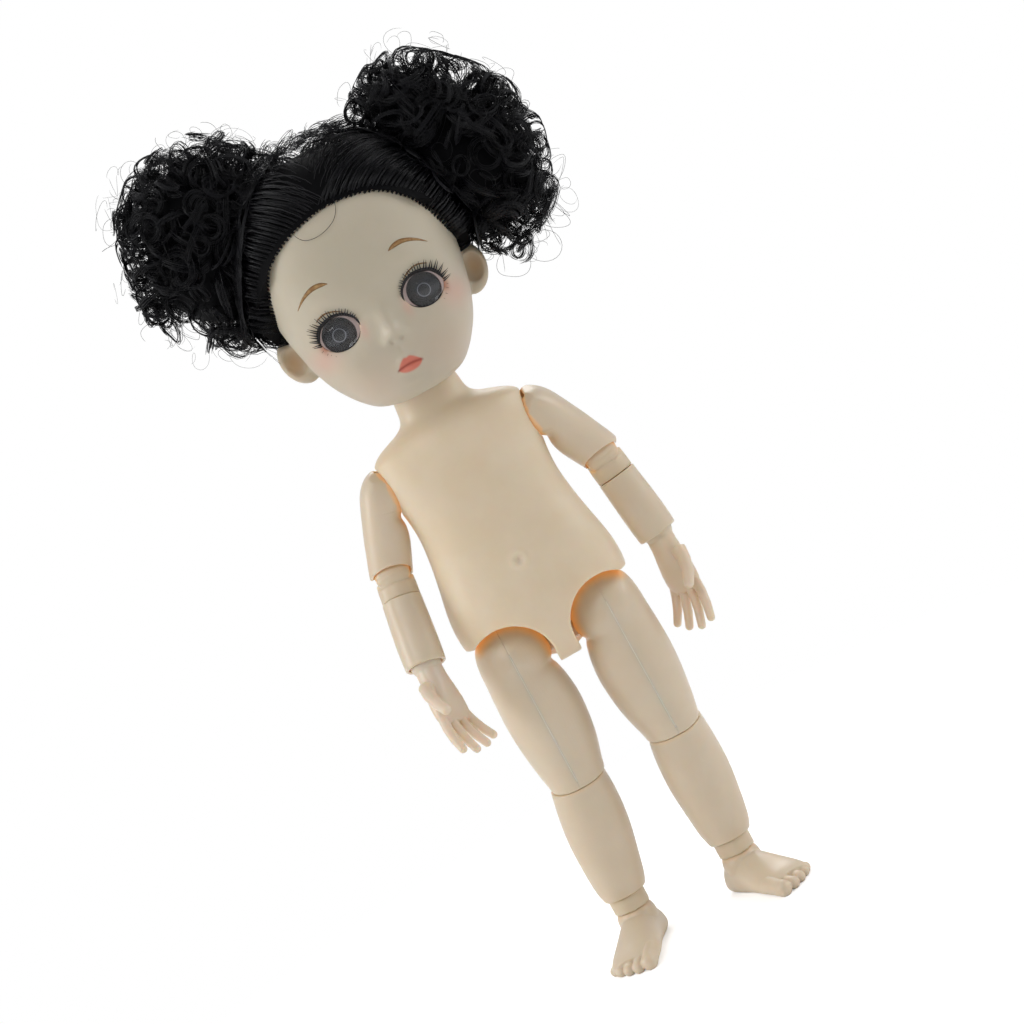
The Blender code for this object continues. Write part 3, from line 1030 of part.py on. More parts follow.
def lumpy(radii):
    """A spheroid with low, uneven lumps."""
    round_x, round_y, round_z, skew, across = BUNCH_WAVES
    start_x, start_y = BUNCH_PHASES
    mesh = bpy.data.meshes.new("lumpy")
    bm = bmesh.new()
    bmesh.ops.create_uvsphere(bm, u_segments=HEAD_SEGMENTS, v_segments=ROUND_SEGMENTS, radius=1.0)
    for vertex in bm.verts:
        x, y, z = vertex.co
        swell = math.sin(round_x * x + start_x) * math.sin(round_y * y + start_y)
        swell += math.sin(round_z * z + skew * x) * math.cos(across * y)
        vertex.co = vertex.co * (1 + BUNCH_LUMP_SHARE * swell)
        vertex.co = Vector(c * r for c, r in zip(vertex.co, radii))
    bmesh.ops.triangulate(bm, faces=bm.faces)
    bm.to_mesh(mesh)
    bm.free()
    return mesh


def ring_round(radius, thickness, segments=16, sides=6):
    """A torus about Z."""
    rings = []
    for step in range(segments):
        turn = 2 * math.pi * step / segments
        ring = []
        for part in range(sides):
            round_turn = 2 * math.pi * part / sides
            out = radius + thickness * math.cos(round_turn)
            ring.append((out * math.cos(turn), out * math.sin(turn), thickness * math.sin(round_turn)))
        rings.append(ring)
    return mesh_of(rings, closed=True)


def make_bunches(base):
    """Curly bunches tied at the upper sides of the head."""
    middle = Vector((0, HEAD_FORWARD, HEAD_LOW + HEAD_MIDDLE_SHARE * HEAD_HEIGHT))
    for side in ("left", "right"):
        sign = side_sign(side)
        place = Vector(BUNCH_PLACE[side])
        spot = frame(f"bunch_frame_{side}", base, place, turned(-sign * BUNCH_LEAN[side], "Y"))
        bunch = piece(f"hair_puff_{side}", lumpy(BUNCH_RADII[side]), spot, HAIR_FIBRE)
        ahead = (place - middle).normalized()
        tie_place = middle + ahead * TIE_DISTANCE
        facing = ahead.to_track_quat("Z", "Y").to_matrix()
        tie_frame = frame(f"tie_frame_{side}", base, tie_place, facing)
        piece(f"hair_tie_{side}", ring_round(TIE_RADIUS, TIE_THICKNESS), tie_frame, TIE_RUBBER)
        room = TIE_THICKNESS + GAP
        groove = cutter(f"tie_room_{side}", rod(TIE_RADIUS + room, -TIE_DISTANCE / 2, room), tie_frame)
        stem = cutter(f"tie_stem_{side}", rod(TIE_RADIUS - room, -TIE_DISTANCE, TIE_DISTANCE / 2), tie_frame)
        combine(groove, "DIFFERENCE", stem)
        scalp = cutter(f"scalp_room_{side}", mesh_of(head_rings(grow=HAIR_THICKNESS + GAP)), base)
        combine(bunch, "DIFFERENCE", scalp, groove, ear_form("bunch_ear_room", side, base, EAR_ROOM))


# Assembly

doll = frame("doll_frame", None, (ORIGIN_SIDE_STEP, ORIGIN_DEPTH_STEP, 0))
body = frame("torso_frame", doll, (PELVIS_SIDE_STEP, 0, HIP_HEIGHT), turned(TORSO_LEAN, "Y"))
make_torso(body)
for doll_side in ("left", "right"):
    make_arm(doll_side, body)
    make_leg(doll_side, body, doll)
head_frame = make_neck(body)
make_head(head_frame)
make_eyes(head_frame)
make_combed_hair(head_frame)
make_bunches(head_frame)
bpy.context.view_layer.update()
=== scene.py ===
import json
import math

import bmesh
import bpy
import numpy as np
from mathutils import Matrix, Vector
from mathutils.bvhtree import BVHTree

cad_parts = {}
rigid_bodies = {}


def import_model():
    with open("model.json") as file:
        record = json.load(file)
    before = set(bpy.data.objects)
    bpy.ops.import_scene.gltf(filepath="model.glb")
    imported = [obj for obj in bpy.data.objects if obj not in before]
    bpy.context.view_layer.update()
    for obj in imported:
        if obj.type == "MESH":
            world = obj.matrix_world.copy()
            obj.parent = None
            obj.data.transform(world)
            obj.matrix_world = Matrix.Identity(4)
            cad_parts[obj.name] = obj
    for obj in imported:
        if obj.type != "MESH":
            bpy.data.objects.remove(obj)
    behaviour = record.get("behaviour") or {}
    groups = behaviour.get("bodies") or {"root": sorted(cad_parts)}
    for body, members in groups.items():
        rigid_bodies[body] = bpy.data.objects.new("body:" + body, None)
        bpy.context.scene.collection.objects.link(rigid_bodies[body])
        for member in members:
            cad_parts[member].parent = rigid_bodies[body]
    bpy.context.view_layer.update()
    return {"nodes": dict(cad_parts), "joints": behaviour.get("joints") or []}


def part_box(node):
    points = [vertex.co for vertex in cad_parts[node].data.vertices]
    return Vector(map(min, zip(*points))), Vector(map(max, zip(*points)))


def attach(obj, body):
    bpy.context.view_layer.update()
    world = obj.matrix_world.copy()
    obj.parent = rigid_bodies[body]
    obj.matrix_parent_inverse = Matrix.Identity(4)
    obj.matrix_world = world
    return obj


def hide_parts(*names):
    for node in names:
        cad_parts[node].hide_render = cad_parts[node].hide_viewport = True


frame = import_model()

# Camera
# The doll was photographed upright and a little from above, and its picture was then turned in the
# frame. The doll stands straight here, so the camera is rolled instead. Lengths are in metres.
CAMERA_LENS_MM = 94.8
CAMERA_SENSOR_MM = 36
CAMERA_DISTANCE = 0.5
CAMERA_PITCH = math.radians(5.4)
CAMERA_ROLL = math.radians(28.4)
CAMERA_AIM = Vector((0.00198, -0.00146, 0.0841))


def linked(name, data):
    """A new object in the scene."""
    thing = bpy.data.objects.new(name, data)
    bpy.context.scene.collection.objects.link(thing)
    return thing


camera_data = bpy.data.cameras.new("camera")
camera_data.lens = CAMERA_LENS_MM
camera_data.sensor_width = CAMERA_SENSOR_MM
camera_data.clip_start = CAMERA_DISTANCE / 50
camera = linked("camera", camera_data)
behind = Vector((0, -math.cos(CAMERA_PITCH), math.sin(CAMERA_PITCH)))
level = behind.cross(Vector((0, 0, -1))).normalized()
upward = level.cross(-behind).normalized()
top = upward * math.cos(CAMERA_ROLL) + level * math.sin(CAMERA_ROLL)
right = (-behind).cross(top)
camera.matrix_world = Matrix.Translation(CAMERA_AIM + behind * CAMERA_DISTANCE) @ Matrix(
    (right, top, behind)).transposed().to_4x4()
bpy.context.scene.camera = camera

# Studio
# A white card floor in a white room, with a large soft box in front and above, one on each side and
# one behind. The floor keeps the doll's shadow and fades into the white room round it.
FLOOR_SIZE = 3.0
FLOOR_GLOW = 0.42
FLOOR_FADE_START = 0.050
FLOOR_FADE_END = 0.170
FRONT_LIGHT = 0.27
ROOM_LIGHT = 0.62
LAMPS = {  # place, size in metres, watts
    "front_box": ((-0.35, -0.75, 0.80), 0.50, 2.3),
    "left_box": ((0.80, -0.05, 0.45), 0.40, 1.9),
    "right_box": ((-0.80, -0.10, 0.40), 0.40, 2.3),
    "back_box": ((0.10, 0.80, 0.70), 0.50, 3.0),
}


def add(tree, kind, settings=(), links=()):
    """A node with its settings, and links to its inputs from sockets or from nodes' first outputs."""
    node = tree.nodes.new("ShaderNode" + kind)
    for name, value in dict(settings).items():
        if isinstance(name, str) and hasattr(node, name):
            setattr(node, name, value)
        else:
            node.inputs[name].default_value = value
    for socket, source in dict(links).items():
        tree.links.new(getattr(source, "outputs", (source,))[0], node.inputs[socket])
    return node


def colour(code):
    """An sRGB hex colour as linear values."""
    parts = [int(code[place:place + 2], 16) / 255 for place in (1, 3, 5)]
    return tuple(
        part / 12.92 if part <= 0.04045 else ((part + 0.055) / 1.055) ** 2.4 for part in parts) + (1.0,)


def empty_material(name):
    made = bpy.data.materials.new(name)
    made.use_nodes = True
    made.node_tree.nodes.clear()
    return made, made.node_tree


def surface(tree, settings, links=()):
    """The shader of a material, joined to its output."""
    shader = add(tree, "BsdfPrincipled", settings, links)
    add(tree, "OutputMaterial", {}, {"Surface": shader})
    return shader


world = bpy.data.worlds.new("room")
bpy.context.scene.world = world
world.use_nodes = True
room = world.node_tree
room.nodes.clear()
seen = add(room, "LightPath")
seen_white = add(
    room, "Math", {"operation": "MAXIMUM"},
    {0: seen.outputs["Is Camera Ray"], 1: seen.outputs["Is Transmission Ray"]})
sky = add(room, "TexCoord")
heading = add(room, "SeparateXYZ", {}, {0: sky.outputs["Generated"]})
room_level = add(
    room, "MapRange", {"From Min": -1.0, "From Max": 0.2, "To Min": FRONT_LIGHT, "To Max": ROOM_LIGHT},
    {"Value": heading.outputs[1]})
lit = add(room, "Background", {"Color": colour("#f6f7fa")}, {"Strength": room_level})
white = add(room, "Background", {"Color": colour("#ffffff"), "Strength": 1.0})
either = add(room, "MixShader", {}, {0: seen_white, 1: lit, 2: white})
add(room, "OutputWorld", {}, {"Surface": either})

card, tree = empty_material("white_card")
paper = add(tree, "BsdfDiffuse", {"Color": colour("#f7f7f7")})
glow = add(tree, "Emission", {"Color": colour("#ffffff"), "Strength": FLOOR_GLOW})
path = add(tree, "LightPath")
dark = add(tree, "Emission", {"Strength": 0.0})
shown = add(tree, "MixShader", {}, {0: path.outputs["Is Camera Ray"], 1: dark, 2: glow})
both = add(tree, "AddShader", {}, {0: paper, 1: shown})
spot = add(tree, "TexCoord")
away = add(tree, "VectorMath", {"operation": "LENGTH"}, {0: spot.outputs["Object"]})
fade = add(
    tree, "MapRange",
    {"interpolation_type": "SMOOTHSTEP", "From Min": FLOOR_FADE_START, "From Max": FLOOR_FADE_END},
    {"Value": away.outputs["Value"]})
seen_fade = add(tree, "Math", {"operation": "MULTIPLY"}, {0: fade, 1: path.outputs["Is Camera Ray"]})
room_white = add(tree, "Emission", {"Color": colour("#ffffff"), "Strength": 1.0})
faded = add(tree, "MixShader", {}, {0: seen_fade, 1: both, 2: room_white})
add(tree, "OutputMaterial", {}, {"Surface": faded})
bpy.ops.mesh.primitive_plane_add(size=FLOOR_SIZE)
floor = bpy.context.object
floor.name = "floor_card"
floor.data.materials.append(card)

for name, (place, size, watts) in LAMPS.items():
    lamp_data = bpy.data.lights.new(name, "AREA")
    lamp_data.size = size
    lamp_data.energy = watts
    lamp = linked(name, lamp_data)
    lamp.location = place
    lamp.rotation_euler = (CAMERA_AIM - Vector(place)).to_track_quat("-Z", "Y").to_euler()
bpy.context.scene.view_settings.view_transform = "Standard"

# Torso
# The trunk is one hollow rotocast moulding of soft PVC, with a short neck, a dish for each arm and an
# open socket for each leg. The mould leaves small round edges; the amber light in the joints is painted.
SIDES = (("left", 1), ("right", -1))
GAP = 0.0003
OVERRUN = 0.002
TORSO_LEAN = math.radians(-0.6)
TORSO_HEIGHT = 0.0585
TORSO_WIDTH = 0.0344
TORSO_DEPTH = 0.0250
TORSO_DROP = 0.0033
SHOULDER_FACE = 0.0150
SHOULDER_FACE_LOW = 0.0335
SHOULDER_REACH = 0.0175
SHOULDER_HEIGHT = 0.0390
ARM_BALL_RADIUS = 0.0053
AXLE_RADIUS = 0.0016
SHOULDER_AXLE_END = 0.0086
HIP_SPACING = 0.0204
HIP_SOCKET_RADIUS = 0.0081
LEG_WAY_RADIUS = 0.0080
HIP_SIDE_RISE = 0.0061
LEG_WAY_TURNS = [math.radians(degrees) for degrees in (28, 14, 0, -15, -30, -45, -60, -75, -90)]
NECK_STUD_RADIUS = 0.0030
NECK_STUD_LENGTH = 0.0090
TORSO_POWER = 2.3
# height, half width, front and back, each as a share of the size it follows
TORSO_SHARES = [
    (0.000, 0.26, 0.24, 0.30), (0.022, 0.36, 0.33, 0.39), (0.075, 0.43, 0.41, 0.48),
    (0.125, 0.475, 0.455, 0.52), (0.176, 0.498, 0.475, 0.525), (0.236, 0.500, 0.477, 0.505),
    (0.296, 0.487, 0.473, 0.465), (0.364, 0.463, 0.456, 0.415), (0.450, 0.436, 0.424, 0.375),
    (0.535, 0.420, 0.396, 0.352), (0.603, 0.424, 0.380, 0.352), (0.672, 0.441, 0.372, 0.360),
    (0.740, 0.456, 0.360, 0.360), (0.791, 0.450, 0.340, 0.344), (0.817, 0.436, 0.322, 0.328),
    (0.838, 0.388, 0.300, 0.312), (0.855, 0.318, 0.278, 0.288), (0.870, 0.252, 0.260, 0.272),
    (0.894, 0.206, 0.242, 0.250), (0.945, 0.190, 0.232, 0.238), (1.000, 0.182, 0.226, 0.230),
]
TORSO_VOXEL = 0.00030
NAVEL_HEIGHT = 0.0176
NAVEL_RADIUS = 0.0010
NAVEL_DEPTH = 0.00045
# strength of the painted amber light in the joints, given off as emission
PAINTED_GLOW_STRENGTH = 0.26
SNUG = 0.0001
ROD_SEGMENTS = 48
SLOT_STEPS = 10
EVEN_FACTOR = 0.5
VINYL_CLOUDS = 0.009
VINYL_GRAIN = 0.00035
NAVEL_SHARES = (0.7, 0.45, 1.3, 0.5)    # width of the dent; strength, place and width of its rim

joint_place = {joint["name"]: Vector(joint["pos_m"]) for joint in frame["joints"]}
glowing = []


def turned(angle, axis):
    return Matrix.Rotation(angle, 4, axis)


def moved(place, x, y, z):
    return place @ Matrix.Translation((x, y, z))


def smooth_table(rows, steps=6):
    """More rows between those of a table, on a curve through all of them."""
    dense = []
    for index in range(len(rows) - 1):
        before, here = rows[max(index - 1, 0)], rows[index]
        after, beyond = rows[index + 1], rows[min(index + 2, len(rows) - 1)]
        for step in range(steps):
            t = step / steps
            row = []
            for p, q, r, s in zip(before, here, after, beyond):
                row.append(q + t * (r - p) / 2 + t * t * (2 * p - 5 * q + 4 * r - s) / 2
                           + t ** 3 * (3 * q - p - 3 * r + s) / 2)
            dense.append(tuple(row))
    return dense + [rows[-1]]


def rounded(turn, power):
    """A place on a rounded square about the origin: power 2 gives a circle, more gives fuller corners."""
    across, along = math.cos(turn), math.sin(turn)
    return math.copysign(abs(across) ** (2 / power), across), math.copysign(abs(along) ** (2 / power), along)


def outline(height, lateral, medial, front, back, side=1, power=2.2, segments=72):
    """One closed outline round a limb, from its reaches on four sides of the axis."""
    ring = []
    for step in range(segments):
        turn = 2 * math.pi * step / segments
        x, y = rounded(turn, power)
        ring.append((side * x * (lateral if x > 0 else medial), y * (back if y > 0 else front), height))
    return ring


def mesh_of(rings, place=Matrix.Identity(4), closed=False):
    """Bridges rings of points in order, in a frame; the ends are capped unless the rings close."""
    mesh = bpy.data.meshes.new("rings")
    count = len(rings[0])
    points = [place @ Vector(point) for ring in rings for point in ring]
    faces = []
    for level in range(len(rings) if closed else len(rings) - 1):
        low, high = level * count, (level + 1) % len(rings) * count
        for step in range(count):
            after = (step + 1) % count
            faces.append((low + step, low + after, high + after, high + step))
    if not closed:
        faces.append(tuple(reversed(range(count))))
        faces.append(tuple(range((len(rings) - 1) * count, len(rings) * count)))
    mesh.from_pydata(points, [], faces)
    bm = bmesh.new()
    bm.from_mesh(mesh)
    bmesh.ops.recalc_face_normals(bm, faces=bm.faces)
    bm.to_mesh(mesh)
    bm.free()
    return mesh


def ball(radii, place=Matrix.Identity(4), segments=48):
    """A sphere or spheroid in a frame."""
    mesh = bpy.data.meshes.new("ball")
    bm = bmesh.new()
    bmesh.ops.create_uvsphere(
        bm, u_segments=segments, v_segments=segments // 2, radius=1.0,
        matrix=place @ Matrix.Diagonal((*radii, 1)))
    bm.to_mesh(mesh)
    bm.free()
    return mesh


def rod(radius, low, high, place=Matrix.Identity(4), axis="Z", wide=None):
    """A round or oval rod along an axis of a frame between two places."""
    rings = []
    for spot in (low, high):
        ring = []
        for step in range(ROD_SEGMENTS):
            turn = 2 * math.pi * (step + 0.5) / ROD_SEGMENTS
            a, b = (wide or radius) * math.cos(turn), radius * math.sin(turn)
            ring.append({"X": (spot, a, b), "Y": (a, spot, b), "Z": (a, b, spot)}[axis])
        rings.append(ring)
    return mesh_of(rings, place)


def block(low, high, place=Matrix.Identity(4)):
    """A box between two corners of a frame; it only cuts."""
    ring = [(low[0], low[1]), (high[0], low[1]), (high[0], high[1]), (low[0], high[1])]
    return mesh_of([[(x, y, z) for x, y in ring] for z in (low[2], high[2])], place)


def slot(reach, half_width, start, end, thickness, axis, place):
    """The room that a neck sweeps from a hinge, from straight down towards +X or -Y."""
    def point(angle, out, aside):
        return (
            math.sin(angle) * out + math.cos(angle) * aside, math.sin(angle) * aside - math.cos(angle) * out)

    flat = [point(start, 0, -half_width), point(start, reach, -half_width)]
    flat += [point(start + (end - start) * step / SLOT_STEPS, reach, 0) for step in range(SLOT_STEPS + 1)]
    flat += [point(end, reach, half_width), point(end, 0, half_width)]
    if axis == "Y":
        rings = [[(a, side * thickness / 2, b) for a, b in flat] for side in (-1, 1)]
    else:
        rings = [[(side * thickness / 2, -a, b) for a, b in flat] for side in (-1, 1)]
    return mesh_of(rings, place)


def evaluated(thing):
    """The mesh of an object with its modifiers applied; the object goes."""
    mesh = bpy.data.meshes.new_from_object(thing.evaluated_get(bpy.context.evaluated_depsgraph_get()))
    for modifier in thing.modifiers:
        if modifier.type == "BOOLEAN":
            bpy.data.objects.remove(modifier.object)
    bpy.data.objects.remove(thing)
    return mesh


def shaped(mesh, *changes):
    """Cuts, joins or limits a mesh by others: pairs of an operation and a mesh."""
    thing = linked("shaped", mesh)
    for operation, other in changes:
        tool = linked("tool", other)
        tool.hide_set(True)
        change = thing.modifiers.new("change", "BOOLEAN")
        change.operation = operation
        change.solver = "EXACT"
        change.object = tool
    return evaluated(thing)


def cut(mesh):
    return "DIFFERENCE", mesh


def moulded(mesh, voxel, rounds=3):
    """The even skin of a moulding: a fine grid of faces, with edges as round as a mould leaves them."""
    thing = linked("moulded", mesh)
    remesh = thing.modifiers.new("skin", "REMESH")
    remesh.mode = "VOXEL"
    remesh.voxel_size = voxel
    even = thing.modifiers.new("even", "SMOOTH")
    even.iterations = rounds
    even.factor = EVEN_FACTOR
    return evaluated(thing)


def joined(*meshes):
    """Several meshes as one, for a skin to be laid over."""
    bm = bmesh.new()
    for mesh in meshes:
        bm.from_mesh(mesh)
    whole = bpy.data.meshes.new("joined")
    bm.to_mesh(whole)
    bm.free()
    return whole


def place_piece(name, mesh, body, look, finish, *nodes):
    """A piece of the doll: it rides on a body and stands for CAD nodes."""
    thing = linked(name, mesh)
    mesh.materials.clear()
    mesh.materials.append(look)
    mesh.shade_smooth()
    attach(thing, body)
    if nodes:
        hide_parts(*nodes)
    return thing


def place_moulding(*details):
    """A plastic piece, on which amber light is painted at the joints."""
    glowing.append(place_piece(*details))


def dress(look, *names):
    """Gives a finish to CAD nodes that are shown as they are, inside the joints."""
    for name in names:
        materials = frame["nodes"][name].data.materials
        materials.clear()
        materials.append(look)


def skin_of(mesh):
    """A mesh as a tree, for rays and distances."""
    bm = bmesh.new()
    bm.from_mesh(mesh)
    skin = BVHTree.FromBMesh(bm)
    bm.free()
    return skin


def vinyl(name, base, warm, shade, roughness, scatter_mm, weight):
    """Soft PVC, cast or injection moulded: satin, faintly cloudy, and light passes through its thin
    parts. The attribute crevice is where the amber light trapped between two pieces is
    painted into the colour and given off as emission."""
    made, tree = empty_material(name)
    where = add(tree, "TexCoord")
    clouds = add(
        tree, "TexNoise", {"Scale": 1 / VINYL_CLOUDS, "Detail": 3.0}, {"Vector": where.outputs["Object"]})
    cloud_share = add(
        tree, "MapRange", {"From Min": 0.35, "From Max": 0.65, "To Max": 0.5},
        {"Value": clouds.outputs["Fac"]})
    cloudy = add(tree, "Mix", {"data_type": "RGBA", 6: colour(base), 7: colour(shade)}, {0: cloud_share})
    # painted light: the amber glow between two pieces, in the colour and as emission
    crevice = add(tree, "Attribute", {"attribute_name": "crevice"})
    warmed = add(
        tree, "Mix", {"data_type": "RGBA", 7: colour(warm)},
        {0: crevice.outputs["Fac"], 6: cloudy.outputs[2]})
    grain = add(tree, "TexNoise", {"Scale": 1 / VINYL_GRAIN, "Detail": 2.0},
                {"Vector": where.outputs["Object"]})
    bump = add(tree, "Bump", {"Strength": 0.12, "Distance": 0.00006}, {"Height": grain.outputs["Fac"]})
    rough = add(
        tree, "MapRange",
        {"From Min": 0.3, "From Max": 0.7, "To Min": roughness - 0.05, "To Max": roughness + 0.06},
        {"Value": clouds.outputs["Fac"]})
    caught = add(tree, "Math", {"operation": "MULTIPLY", 1: PAINTED_GLOW_STRENGTH}, {0: crevice.outputs["Fac"]})
    shader = surface(
        tree,
        {
            "IOR": 1.53, "Subsurface Weight": weight, "Subsurface Radius": (1.0, 0.55, 0.30),
            "Subsurface Scale": scatter_mm / 1000, "Emission Color": colour(warm)},
        {"Base Color": warmed.outputs[2], "Roughness": rough, "Normal": bump, "Emission Strength": caught})
    return made, tree, shader, warmed


BODY_VINYL = vinyl("cast_pvc_body", "#e4d3b8", "#f2b566", "#ddc8a6", 0.42, 3.0, weight=0.5)[0]

torso_frame = Matrix.Translation((joint_place["hip_swing_left"] + joint_place["hip_swing_right"]) / 2) \
    @ turned(TORSO_LEAN, "Y")
rings = []
for up, half, front, back in smooth_table(TORSO_SHARES):
    height = up * TORSO_HEIGHT - TORSO_DROP
    rings.append(outline(
        height, half * TORSO_WIDTH, half * TORSO_WIDTH, front * TORSO_DEPTH, back * TORSO_DEPTH,
        power=TORSO_POWER, segments=96))
cuts = [
    cut(rod(
        NECK_STUD_RADIUS + GAP, TORSO_HEIGHT - TORSO_DROP - NECK_STUD_LENGTH - OVERRUN, TORSO_HEIGHT,
        torso_frame)),
    cut(rod(AXLE_RADIUS + GAP, -HIP_SPACING / 4, HIP_SPACING / 4, torso_frame, "X"))]
for sign in (1, -1):
    face = sorted((sign * (SHOULDER_FACE + GAP), sign * TORSO_WIDTH))
    cuts.append(cut(block(
        (face[0], -TORSO_DEPTH, SHOULDER_FACE_LOW), (face[1], TORSO_DEPTH, TORSO_HEIGHT), torso_frame)))
    shoulder = moved(torso_frame, sign * SHOULDER_REACH, 0, SHOULDER_HEIGHT)
    cuts.append(cut(ball([ARM_BALL_RADIUS + SNUG] * 3, shoulder)))
    reach = sorted((sign * SHOULDER_AXLE_END / 2, sign * SHOULDER_REACH))
    cuts.append(cut(rod(AXLE_RADIUS + GAP, *reach, torso_frame @ Matrix.Translation(
        (0, 0, SHOULDER_HEIGHT)), "X")))
    hip = moved(torso_frame, sign * HIP_SPACING / 2, 0, 0)
    cuts.append(cut(ball([HIP_SOCKET_RADIUS] * 3, hip, 64)))
    for angle in LEG_WAY_TURNS:
        cuts.append(cut(rod(LEG_WAY_RADIUS, -TORSO_HEIGHT, 0, hip @ turned(angle, "X"))))
    edge = sorted((sign * (HIP_SPACING / 2 + HIP_SOCKET_RADIUS / 3), sign * TORSO_WIDTH))
    cuts.append(cut(block(
        (edge[0], -TORSO_DEPTH, -TORSO_HEIGHT), (edge[1], TORSO_DEPTH, HIP_SIDE_RISE), torso_frame)))
torso_mesh = moulded(shaped(mesh_of(rings, torso_frame), *cuts), TORSO_VOXEL)
inverse = torso_frame.inverted()
dent_width, rim_strength, rim_place, rim_width = NAVEL_SHARES
for vertex in torso_mesh.vertices:
    spot = inverse @ vertex.co
    if spot.y < 0:
        away = math.hypot(spot.x, spot.z - NAVEL_HEIGHT) / NAVEL_RADIUS
        rim = rim_strength * math.exp(-((away - rim_place) / rim_width) ** 2)
        vertex.co.y += NAVEL_DEPTH * (math.exp(-(away / dent_width) ** 2) - rim)
place_moulding("torso_moulding", torso_mesh, "torso", BODY_VINYL, "body_vinyl", "torso")

# Legs
# Each thigh is two injection moulded ABS halves glued along the middle plane, with the glue line down
# the front. A nylon hip tongue and a nylon knee knuckle turn in their cups, and the shin is one piece.
HIP_BALL_RADIUS = 0.0077
HIP_TONGUE_RADIUS = 0.0042
HIP_TONGUE_THICKNESS = 0.0030
HIP_TRAVEL = (math.radians(-6), math.radians(52))
THIGH_LEAN = {"left": math.radians(0.8), "right": math.radians(0.2)}
SHIN_LEAN = {"left": math.radians(-1.8), "right": math.radians(5.6)}
THIGH_LENGTH = 0.0251
THIGH_WIDTH = 0.0152
THIGH_DEPTH = 0.0152
THIGH_SHARES = [
    # height from the hip centre (share of length), lateral, medial, front, back
    (-1.040, 0.335, 0.375, 0.390, 0.375), (-0.960, 0.355, 0.395, 0.405, 0.390),
    (-0.870, 0.385, 0.435, 0.425, 0.420), (-0.750, 0.415, 0.485, 0.455, 0.465),
    (-0.600, 0.445, 0.520, 0.485, 0.500), (-0.430, 0.462, 0.536, 0.505, 0.520),
    (-0.280, 0.458, 0.512, 0.500, 0.520), (-0.170, 0.450, 0.470, 0.492, 0.512),
    (-0.110, 0.444, 0.432, 0.488, 0.506), (-0.060, 0.440, 0.480, 0.490, 0.500),
    (0.020, 0.434, 0.505, 0.505, 0.505), (0.120, 0.412, 0.480, 0.478, 0.478),
    (0.200, 0.362, 0.402, 0.400, 0.400), (0.255, 0.270, 0.285, 0.285, 0.285),
    (0.288, 0.150, 0.160, 0.160, 0.160), (0.300, 0.050, 0.050, 0.050, 0.050),
]
GLUE_LINE = -0.00024                # the halves run into each other
KNEE_BACK = 0.0015
KNEE_ABOVE_RIM = 0.0014
KNEE_RIM_TILT = math.radians(9)
KNEE_KNUCKLE_WIDTH = 0.0088
KNEE_KNUCKLE_RADIUS = 0.0037
KNEE_DISC_RADIUS = 0.0040
KNEE_DISC_TOP = 0.0024
KNEE_DISC_THICKNESS = 0.0016
KNEE_STUD_RADIUS = 0.0018
KNEE_STUD_LENGTH = 0.0065
KNEE_NECK_RADIUS = 0.0025
KNEE_NOTCH_WIDTH = 0.0134
KNEE_NOTCH_RISE = 0.0068
SHIN_LENGTH = 0.0232
SHIN_WIDTH = 0.0122
SHIN_DEPTH = 0.0128
SHIN_SHARES = [
    (-0.03, 0.335, 0.335, 0.325, 0.330), (0.02, 0.372, 0.362, 0.350, 0.360),
    (0.10, 0.415, 0.405, 0.385, 0.410), (0.28, 0.462, 0.452, 0.415, 0.460),
    (0.50, 0.500, 0.500, 0.440, 0.510), (0.68, 0.500, 0.510, 0.455, 0.525),
    (0.86, 0.475, 0.490, 0.455, 0.490), (1.00, 0.445, 0.450, 0.450, 0.440),
    (1.08, 0.440, 0.440, 0.445, 0.435),]
ANKLE_HEIGHT = 0.0054
ANKLE_RIM_HEIGHT = 0.0108
ANKLE_BAND_RADIUS = 0.0036
ANKLE_DOME_RADIUS = 0.0039
ANKLE_NECK_RADIUS = 0.0013
ANKLE_STUD_RADIUS = 0.0018
ANKLE_STUD_LENGTH = 0.0055
ANKLE_LOBE_RADIUS = 0.0024
LEG_VOXEL = 0.00020

LIMB_ABS = vinyl("moulded_abs_limb", "#dccbb2", "#f0b260", "#d5c2a6", 0.34, 2.0, weight=0.40)[0]
JOINT_NYLON = vinyl("moulded_nylon_joint", "#dac8ad", "#f0b45e", "#d2bd9c", 0.38, 2.0, weight=0.40)[0]


def limb(shares, length, width, depth, side, place, base=0.0):
    """A lofted limb in a frame; heights are shares of its length, reaches shares of its sizes."""
    rings = []
    for up, lateral, medial, front, back in smooth_table(shares, 5):
        rings.append(outline(
            base + up * length, lateral * width, medial * width, front * depth, back * depth, side))
    return mesh_of(rings, place)


def frame_at(joint, *turns):
    """The frame of a piece: on a joint, with the turns that set the pose."""
    place = Matrix.Translation(joint_place[joint])
    for angle, axis in turns:
        place = place @ turned(angle, axis)
    return place


